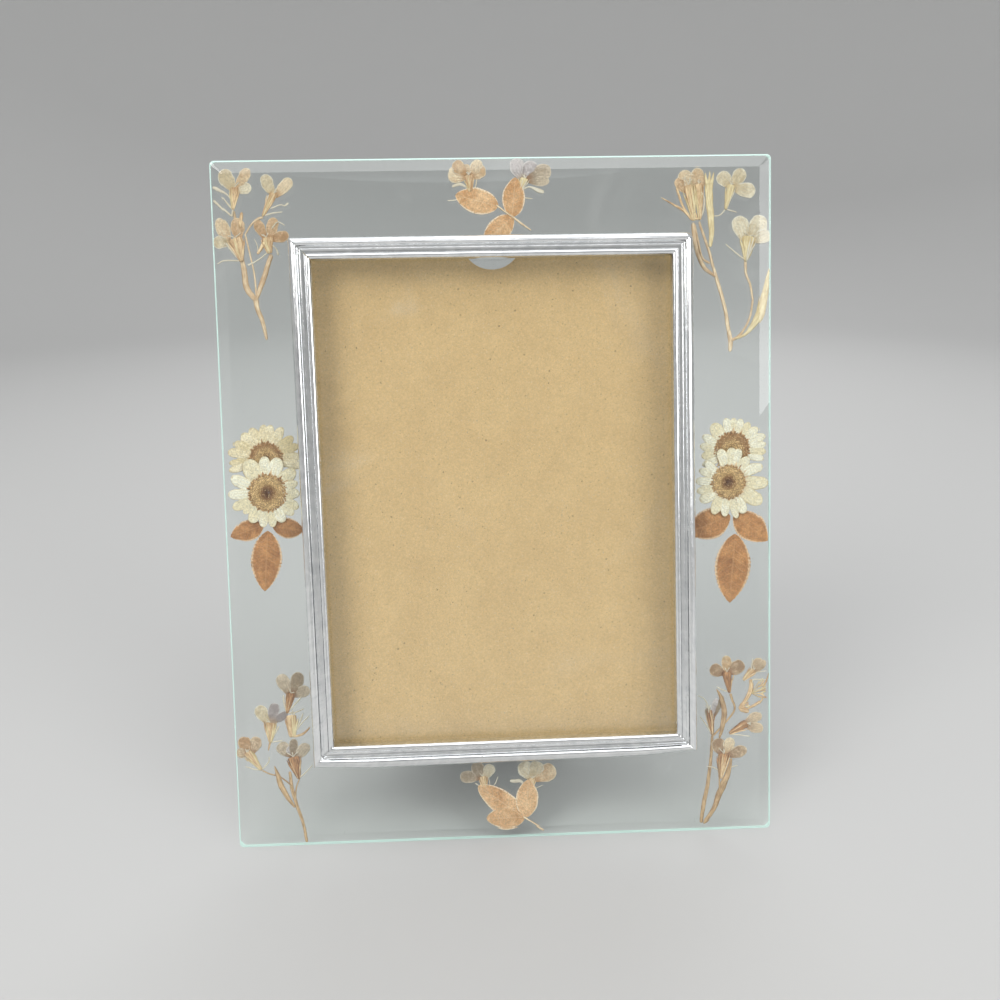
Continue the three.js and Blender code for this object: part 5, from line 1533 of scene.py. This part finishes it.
def top_right_spray():
    """A stem with a crumpled blossom, a long bud, two more blossoms and a seed pod."""
    flower(
        "top_right_stem", BACK, "straw_stem",
        strand([1.3, 1.8, 1.6], (86.6, 55.8), (86.8, 59.8), (86.1, 64)),
        strand([1.5, 1.3, 1.4, 1.1], (86.2, 63), (84.7, 72), (82.6, 79.6), (80.4, 87)),
        strand([1.1, 1, 0.8], (80.6, 86.2), (78.6, 93.6), (76.2, 100.4), (75.3, 103.4)),
        strand([1, 1.6, 1.5, 1.6], (81.4, 83.3), (76.6, 87.4), (73.9, 95), (73.1, 103)),
        strand([0.9, 0.7], (79.2, 88.2), (76.4, 90.2), (75, 95.6), (73.6, 102.4)),
        strand([1.2, 0.8, 0.8], (87, 59.8), (90.6, 62.2), (94, 68.2), (95.2, 75)),
        strand([0.8, 0.9, 1.1], (95.2, 74.4), (94.2, 80), (92.6, 84.4), (92.4, 89)),
    )
    flower(
        "top_right_crumpled_blossom", MIDDLE, "pale_petal",
        petal(71.2, 113.6, 66.9, 118.8, 4.4, "tan"),
        petal(71.6, 113.4, 69.4, 121.8, 5.6, "beige"),
        petal(72.6, 113.4, 75.4, 122.4, 5.4, "beige"),
        petal(72.9, 113.6, 77.1, 119.4, 4.2, "tan"),
        petal(72.2, 113, 72.3, 120.4, 5.4, "beige"),
        calyx(71.4, 116, 4.2, 73.2, 103.6, 1.4),
        calyx(75.2, 116.4, 3.6, 75.4, 103.8, 1.3),
        sepal([0.9, 0.9, 0.6], (66.9, 115.6), (69.2, 109), (72.6, 104)),
        sepal([0.3, 1, 0.8], (61.2, 112.1), (66, 109.4), (69.8, 107), (72.6, 103.8)),
        sepal([1, 0.9], (74.2, 104.6), (73.6, 106.4), (72.6, 108)),
        whisker([0.6, 0.6], (74.2, 114.6), (76.3, 113.4), (77.2, 111.2)),
        whisker([0.6, 0.7], (77.2, 111.8), (76.8, 107.4), (75.6, 104.4)),
        sepal([1, 1], (72.6, 104.4), (75.6, 104.4)),
    )
    flower(
        "top_right_bud", FRONT, "straw_stem",
        pod([1.2, 2, 2.6, 2.8, 3], (79.2, 94), (79.7, 100), (79.2, 107), (78.8, 113), (78.9, 118)),
        pod([1.4, 0.3], (78.2, 116.4), (77.6, 119), (77.5, 120.6)),
        pod([1.4, 0.3], (78.8, 116.4), (79, 119), (79.1, 121.1)),
        pod([1.3, 0.3], (79.6, 116.4), (80.2, 119), (80.6, 120.8)),
    )
    flower(
        "top_right_blossom_high", MIDDLE, "pale_petal",
        petal(87.4, 115.4, 82.6, 120.6, 5.6, "pale"),
        petal(87.6, 115.6, 91.6, 121.9, 5, "pale"),
        petal(87.4, 115.4, 96, 113.6, 5.6, "pale"),
        calyx(87, 116, 3.4, 85, 107.4, 1, "pod"),
        whisker([0.5, 0.4], (85.2, 108), (83, 105.6), (80.3, 105.1)),
        whisker([0.5, 0.4], (85.2, 107.6), (87.2, 107), (89.2, 106.4)),
    )
    flower(
        "top_right_blossom_low", MIDDLE, "pale_petal",
        petal(93, 95.4, 89.2, 105, 6.6, "pale"),
        petal(93.8, 95.4, 98.6, 105, 6.8, "pale"),
        petal(94.6, 96, 101.2, 98.8, 5.4, "pale"),
        calyx(93.8, 97.4, 6, 92.4, 88.6, 1.3, "pod"),
        whisker([0.4, 0.6], (84.9, 95.1), (88.4, 92.1), (92.2, 89.2)),
    )
    flower(
        "top_right_pod", MIDDLE, "straw_stem",
        pod([0.7, 1.2, 3.1, 3, 2, 0.5],
            (88.6, 60.4), (93, 62.7), (97.2, 68.6), (99, 75.4), (100, 80.6), (101, 86)),
    )


def left_daisies():
    """Two daisies, one over the other, above three copper leaves."""
    flower("left_daisy_back", BACK, "cream_petal", *daisy(-86, 20, 5.6, [
        (-94.2, 29.6, 4), (-91.2, 31.4, 3.8), (-86.3, 32.6, 3.2), (-83.6, 32.4, 3.2),
        (-79.4, 31.4, 3.3), (-75.8, 28, 3.3), (-73.8, 24.6, 3.2), (-73.2, 20.6, 3.2),
        (-73.2, 16.8, 3.2), (-97.2, 26.2, 3.4), (-99.4, 22.6, 3.5), (-99, 18.6, 2.5),
        (-99.2, 15.8, 2.7),
    ], "old_ray", 0.2, 0.7))
    flower("left_daisy_front", FRONT, "cream_petal", *daisy(-85.8, 7.4, 6.4, [
        (-86.4, 21, 4.2), (-81.4, 20.4, 4.8), (-92.6, 20, 5.8), (-75.2, 15.6, 4.4),
        (-98.4, 13.8, 4), (-100, 7.2, 3.6), (-98.4, 2, 3.5), (-94.8, 0, 2.6),
        (-92.3, -3.4, 4.2), (-87.9, -5.3, 3.1), (-84.4, -5.3, 3.1), (-80.2, -3.5, 3.9),
        (-76.7, -1, 3.4), (-74.6, 1.6, 3.4), (-74, 6.8, 3.5), (-74.6, 11, 3),
    ]))
    flower("left_leaf_outer", BACK, "dry_leaf", dried_leaf(-87.8, -4.3, -99.8, -8.6, 7.6))
    flower("left_leaf_inner", BACK, "dry_leaf", dried_leaf(-84.6, -5, -73, -6.8, 7.6))
    flower("left_leaf_long", BACK, "dry_leaf", dried_leaf(-86.4, -6.7, -88.4, -29.2, 11.4))


def right_daisies():
    """Two daisies, one over the other, above three copper leaves."""
    flower("right_daisy_back", BACK, "cream_petal", *daisy(87.3, 19.3, 6.2, [
        (84.9, 31.2, 3.2), (88, 31.2, 2.9), (90.8, 30.9, 3), (93.9, 29.4, 3.1),
        (97.2, 27.3, 3.2), (99.6, 24.3, 3.1), (99.8, 21.4, 2.6), (99.8, 18.4, 2.9),
        (98.9, 15.6, 2.6), (80.2, 29.4, 4.4), (76.2, 24.9, 3.1), (75.2, 21, 3),
        (75.7, 17.2, 3.2), (76, 13.8, 2.8),
    ], "ray", 0.3, 0.7))
    flower("right_daisy_front", FRONT, "cream_petal", *daisy(85.8, 7.3, 5.9, [
        (82.4, 19.7, 3.6), (87, 20.2, 4), (90.2, 19.6, 3.8), (93.4, 16.6, 3.4),
        (98.4, 13.1, 3.7), (100.7, 6.8, 4.6), (97.9, -1.2, 5), (92.1, -4.5, 3.9),
        (89, -6.5, 2.6), (84.4, -5.7, 3.3), (79.9, -4.7, 3.8), (74.9, 0.4, 4),
        (73.7, 4, 2.8), (73.3, 8, 3), (74.6, 12, 2.8), (77, 15.2, 3),
    ]))
    flower("right_leaf_inner", BACK, "dry_leaf", dried_leaf(86.6, -5.4, 70.6, -11.6, 11.8))
    flower("right_leaf_outer", BACK, "dry_leaf", dried_leaf(88, -4.6, 100.6, -15.3, 10.4))
    flower("right_leaf_long", MIDDLE, "dry_leaf", dried_leaf(88.4, -12.4, 86.2, -38.6, 13.5))


def bottom_left_spray():
    """A stem with a narrow pod and five blossoms."""
    flower(
        "bottom_left_stem", BACK, "straw_stem",
        golden([1.1, 1.1, 1.3, 1.4, 1.1], (-76.5, -126), (-77.6, -119), (-79.8, -111.5),
               (-81.3, -105), (-81.9, -98.4)),
        golden([0.6, 0.5], (-80.2, -110), (-79.7, -105), (-78.3, -101.2)),
        golden([0.6, 0.5], (-81.2, -104), (-85.6, -100.4), (-89.6, -99), (-92.2, -97.6)),
    )
    flower(
        "bottom_left_pod", MIDDLE, "straw_stem",
        golden([0.8, 1.8, 2.2, 1.8, 0.4], (-80.4, -112.4), (-83, -108.4), (-85.2, -104),
               (-86.3, -100), (-87.5, -96)),
    )
    flower(
        "bottom_left_blossom_1", MIDDLE, "pale_petal",
        petal(-80.2, -69.4, -84.2, -60.9, 5.2, "grey"),
        petal(-79.6, -69.4, -76.8, -60.2, 5, "grey"),
        petal(-80, -69.2, -73.2, -66.8, 4.6, "grey"),
        calyx(-80.3, -68.4, 3.4, -82, -75.8, 1.1, "brown"),
        whisker([0.6, 0.7], (-83.1, -68.8), (-82.9, -72), (-82, -75.4)),
        whisker([0.7, 0.6], (-76.6, -70), (-79.2, -72.8), (-81.8, -75.4)),
        whisker([0.4, 0.6], (-75.5, -74.2), (-79, -75.6), (-81.9, -75.6)),
    )
    flower(
        "bottom_left_blossom_2", BACK, "pale_petal",
        petal(-89, -80, -93, -72.8, 5.1, "pale"),
        petal(-88, -79.6, -86.4, -71.8, 4.4, "lilac"),
        petal(-87.6, -79.6, -82, -75.6, 3.2, "lilac"),
        calyx(-88.4, -79.6, 4.6, -88.7, -87, 1.3),
        whisker([0.6, 0.6], (-85.3, -80.8), (-87, -84), (-88.5, -86.6)),
        whisker([0.6, 0.5], (-84.2, -86.4), (-86.4, -86.6), (-88.7, -87)),
        sepal([0.9, 0.5], (-88.7, -86.6), (-89.2, -88.4), (-89.6, -90)),
    )
    flower(
        "bottom_left_blossom_3", FRONT, "straw_stem",
        calyx(-80.4, -76.8, 4.6, -80.2, -85, 2.6),
        whisker([0.5, 0.8], (-75.9, -75.8), (-77.4, -79.4), (-79.8, -83)),
        whisker([0.4, 0.7], (-73.7, -77), (-77, -80.2), (-79.8, -84)),
        sepal([0.5, 1, 0.8], (-73.5, -81.3), (-76.4, -83.9), (-79.8, -84.8)),
    )
    flower(
        "bottom_left_blossom_4", MIDDLE, "pale_petal",
        petal(-96.4, -91.4, -99, -84.5, 4.9, "tan"),
        petal(-95.8, -91.2, -93.4, -84.5, 4.8, "fawn"),
        petal(-97, -91, -101.2, -90.4, 4, "fawn"),
        calyx(-97, -90.6, 3.6, -92.3, -97.4, 1.1),
        whisker([0.4, 0.6], (-98, -95.7), (-95, -97), (-92.6, -97.2)),
        whisker([0.4, 0.6], (-89.4, -92.3), (-89.6, -94.4), (-92.3, -97.2)),
    )
    flower(
        "bottom_left_blossom_5", MIDDLE, "pale_petal",
        petal(-81, -92.6, -85.6, -87.4, 5.2, "grey"),
        petal(-79.8, -93.6, -81.2, -88.2, 4.4, "lilac"),
        petal(-79.8, -93.6, -74.4, -88, 4.4, "grey"),
        petal(-80.6, -93.2, -79.8, -85.6, 3.4, "grey"),
        calyx(-80.2, -93, 5.4, -78.5, -101.3, 1.2, "brown"),
        whisker([0.3, 0.6], (-73, -96), (-76, -99), (-78.4, -100.9)),
    )


def bottom_sprig():
    """Three pale leaves with a blossom on either side."""
    flower(
        "bottom_leaf_sprig", MIDDLE, "dry_leaf",
        dried_leaf(6.4, -119.4, -10.8, -106.6, 9.2, "apricot", blunt=0.2),
        dried_leaf(6.8, -119.5, -7.9, -119.4, 8.6, "apricot", blunt=0.2),
        dried_leaf(7.2, -119.6, 8.4, -104.7, 8.8, "apricot", blunt=0.14),
        strand([0.8, 0.6, 0.9], (6.2, -119.2), (9.8, -121.6), (14, -124.6)),
    )
    flower(
        "bottom_blossom_left", BACK, "pale_petal",
        petal(-9.6, -103.6, -17.6, -102.6, 5, "grey"),
        petal(-9.2, -104.4, -11.6, -97.4, 5, "grey"),
        petal(-8.8, -104.2, -5.2, -98.6, 4.6, "pale"),
        calyx(-9, -103.2, 3.6, -8.2, -109, 1.4),
        whisker([0.3, 0.4], (-6.9, -103), (-6.4, -106.2), (-8, -108.6)),
        whisker([0.3, 0.4], (-3.1, -103.2), (-4.6, -106.4), (-8, -108.8)),
        whisker([0.4, 0.4], (-12.1, -105.4), (-10.4, -106.6), (-8.4, -108.4)),
    )
    flower(
        "bottom_blossom_right", BACK, "pale_petal",
        petal(10, -105.2, 6, -98, 6.2, "pale"),
        petal(10.4, -105.2, 18.8, -100.6, 7.2),
        petal(10.2, -105, 12.2, -97.8, 6, "pale"),
        calyx(10, -104.6, 3.2, 8.6, -110, 1.4),
        whisker([1.2, 1.5, 0.5], (1.4, -105.1), (3.4, -105.3), (5.8, -105.6), (8.8, -109.4)),
        whisker([0.3, 0.4], (14, -107.2), (11.6, -108.2), (8.9, -109.6)),
    )


def bottom_right_spray():
    """A stem with a long pod, a blade-like leaf and six blossoms."""
    flower(
        "bottom_right_stem", BACK, "straw_stem",
        golden([1.3, 1.7, 1.5, 1.2, 1], (75, -123.9), (75.9, -117.6), (77.6, -109),
               (78.8, -99.6), (79.5, -89.6)),
        golden([0.8, 0.8, 1], (79.5, -90.4), (84, -85.6), (88, -80.4), (87.2, -76.4), (86.4, -73.8)),
    )
    flower(
        "bottom_right_pod", FRONT, "straw_stem",
        golden([1.4, 1.8, 2.4, 2.7, 2, 0.9], (75.8, -124.2), (79.6, -119), (81.6, -113.6),
               (83.6, -109), (85.5, -104), (86.6, -99)),
        golden([0.6, 0.6], (81.9, -113.4), (81.9, -107), (81.5, -100.2)),
    )
    flower(
        "bottom_right_blade_leaf", FRONT, "straw_stem",
        golden([0.4, 1.8, 2.2, 1.8, 0.8], (81, -71.7), (83, -75.8), (83.9, -81), (83.2, -86.4),
               (82, -91)),
    )
    flower(
        "bottom_right_blossom_1", MIDDLE, "pale_petal",
        petal(84.6, -66.2, 78.6, -63.4, 5, "fawn"),
        petal(85.2, -66.6, 84.8, -58.9, 4.1),
        petal(85.2, -66, 91.6, -62, 5.6, "fawn"),
        calyx(85.1, -65.6, 4, 86, -73.4, 1.1, "brown"),
        whisker([0.4, 0.6], (81, -70.9), (83.4, -72.2), (86, -73.2)),
    )
    flower(
        "bottom_right_blossom_2", FRONT, "pale_petal",
        petal(94.6, -65.4, 97.8, -60.4, 3.9, "fawn"),
        petal(95, -66, 99.6, -61.4, 3, "fawn"),
        calyx(95.2, -64.8, 3.4, 91.2, -68.6, 1.2),
        whisker([0.4, 0.6], (94.9, -60.2), (94.6, -63), (94.2, -65.6)),
        whisker([0.3, 0.5], (100.1, -65.3), (96.8, -65.6), (94.4, -66.6)),
    )
    flower(
        "bottom_right_blossom_3", MIDDLE, "straw_stem",
        fan(94.6, -74, 11, 3.6, 7.2, 34, 118),
        fan(90.4, -79.4, 5, 3, 4.6, 30, 80),
        sepal([1.3, 1.9, 1.5, 1.2], (94.3, -68.4), (94.3, -72.4), (92.4, -76.4), (89.6, -79.8)),
        sepal([0.3, 1.2], (101, -66.4), (100, -69.4), (98.4, -71.6)),
        whisker([0.5, 0.7], (100, -69), (97, -68.6), (94.9, -68.9), (94.9, -72)),
        sepal([0.3, 1.2, 0.8], (99.3, -75.2), (96.4, -78.2), (92.6, -80)),
        sepal([1.8, 2.2], (91.6, -77.4), (90.4, -79.6)),
        sepal([2.4, 2], (89.8, -79.6), (91.6, -80.2), (93.4, -81.2)),
    )
    flower(
        "bottom_right_blossom_4", FRONT, "pale_petal",
        petal(91.4, -85.6, 97.9, -82.1, 4.1, "fawn"),
        petal(91.6, -85.9, 98.6, -88.2, 4.1, "fawn"),
        calyx(92.4, -85.6, 3.8, 85.8, -89.2, 1.4, "brown"),
        whisker([0.5, 0.4], (86, -89.4), (90, -90), (94, -90.6)),
    )
    flower(
        "bottom_right_blossom_5", MIDDLE, "pale_petal",
        calyx(78.2, -80.4, 3.2, 79.4, -89.6, 1.4, "brown"),
        petal(79.6, -83.6, 81.2, -75.4, 3, "lilac"),
        petal(80, -83, 83.6, -74.6, 2.2, "grey"),
        petal(78.4, -83.4, 77.4, -79, 2.6, "grey"),
        whisker([0.3, 0.7], (74.5, -82.2), (77, -85.6), (79.2, -89.2)),
        whisker([0.3, 0.5], (73.7, -74.1), (76.2, -75.4), (77.8, -78.6), (78, -81)),
    )
    flower(
        "bottom_right_blossom_6", MIDDLE, "pale_petal",
        petal(83.2, -98, 81, -91.2, 5.6, "fawn"),
        petal(84.6, -98, 86.6, -91, 4.6),
        petal(84.4, -98.4, 92.7, -95.6, 4.6, "fawn"),
        calyx(83.7, -97.6, 5.4, 82.5, -107, 1.3, "brown"),
        whisker([0.3, 0.6], (77.1, -101.9), (80, -102.6), (82.6, -104.4)),
        whisker([0.3, 0.6], (89.2, -102), (86.2, -102.8), (83, -105)),
    )


# ---------------------------------------------------------------- studio

def studio():
    """A pale bowl of a studio: flat under the frame, curving up to plain walls all round."""
    rows = [(0.0001, 0.0), (FLOOR_RADIUS, 0.0)]
    for angle in np.linspace(0, math.pi / 2, WALL_STEPS)[1:]:
        rows.append((FLOOR_RADIUS + WALL_CURVE * math.sin(angle), WALL_CURVE * (1 - math.cos(angle))))
    rows.append((FLOOR_RADIUS + WALL_CURVE, WALL_HEIGHT))
    sides = STUDIO_SIDES
    angles = np.linspace(0, 2 * math.pi, sides, endpoint=False)
    points = [(r * math.cos(a), r * math.sin(a), z) for r, z in rows for a in angles]
    faces = []
    for row in range(len(rows) - 1):
        for column in range(sides):
            a, b = row * sides + column, row * sides + (column + 1) % sides
            faces.append((a, b, b + sides, a + sides))
    mesh = bpy.data.meshes.new("studio")
    mesh.from_pydata(points, [], faces)
    mesh.polygons.foreach_set("use_smooth", np.full(len(faces), True))
    mesh.materials.append(studio_material())
    bowl = bpy.data.objects.new("studio", mesh)
    bpy.context.scene.collection.objects.link(bowl)


def studio_material():
    """Plain matt paper."""
    made, _, shader = new_material("studio_paper")
    shader.inputs["Base Color"].default_value = (*STUDIO_TONE, 1)
    shader.inputs["Roughness"].default_value = 0.9
    return made


def soft_light(name, place, size, watts, tint):
    """A round lamp that the camera doesn't see, straight or through the glass."""
    lamp = bpy.data.lights.new(name, "AREA")
    lamp.shape = "DISK"
    lamp.size = size
    lamp.energy = watts
    lamp.color = tint
    made = bpy.data.objects.new(name, lamp)
    bpy.context.scene.collection.objects.link(made)
    made.visible_camera = False
    made.visible_transmission = False
    made.location = place
    made.rotation_euler = (Vector(LAMP_AIM) - Vector(place)).to_track_quat("-Z", "Y").to_euler()


def lights():
    """Even air all round, and the lamps."""
    world = bpy.data.worlds.new("studio_air")
    world.use_nodes = True
    air = world.node_tree.nodes["Background"].inputs
    air["Color"].default_value = (*AIR_TONE, 1)
    air["Strength"].default_value = AIR_STRENGTH
    bpy.context.scene.world = world
    for lamp in LAMPS:
        soft_light(*lamp)


def camera():
    """The photo's viewpoint."""
    lens = bpy.data.cameras.new("photo_camera")
    lens.lens = CAMERA_LENS
    lens.sensor_width = CAMERA_SENSOR
    lens.clip_start = 0.01
    made = bpy.data.objects.new("photo_camera", lens)
    bpy.context.scene.collection.objects.link(made)
    view = unit(turn(CAMERA_VIEW))
    side = unit(np.cross(view, turn(CAMERA_UP)))
    up = np.cross(side, view)
    turned_to = Matrix([*zip(side, up, -view)]).to_4x4()
    made.matrix_world = Matrix.Translation(to_row(CAMERA_PLACE)) @ turned_to
    bpy.context.scene.camera = made


def picture():
    """How light becomes colour, and how often it may bounce."""
    bpy.context.scene.view_settings.view_transform = "Standard"
    for name, count in BOUNCES.items():
        setattr(bpy.context.scene.cycles, name, count)


# ---------------------------------------------------------------- assembly

camera()
panes()
moulding()
spacer_tape()
backing_board()
channels()
hinge()
rivets()
strut()
top_left_spray()
top_sprig()
top_right_spray()
left_daisies()
right_daisies()
bottom_left_spray()
bottom_sprig()
bottom_right_spray()
studio()
lights()
picture()
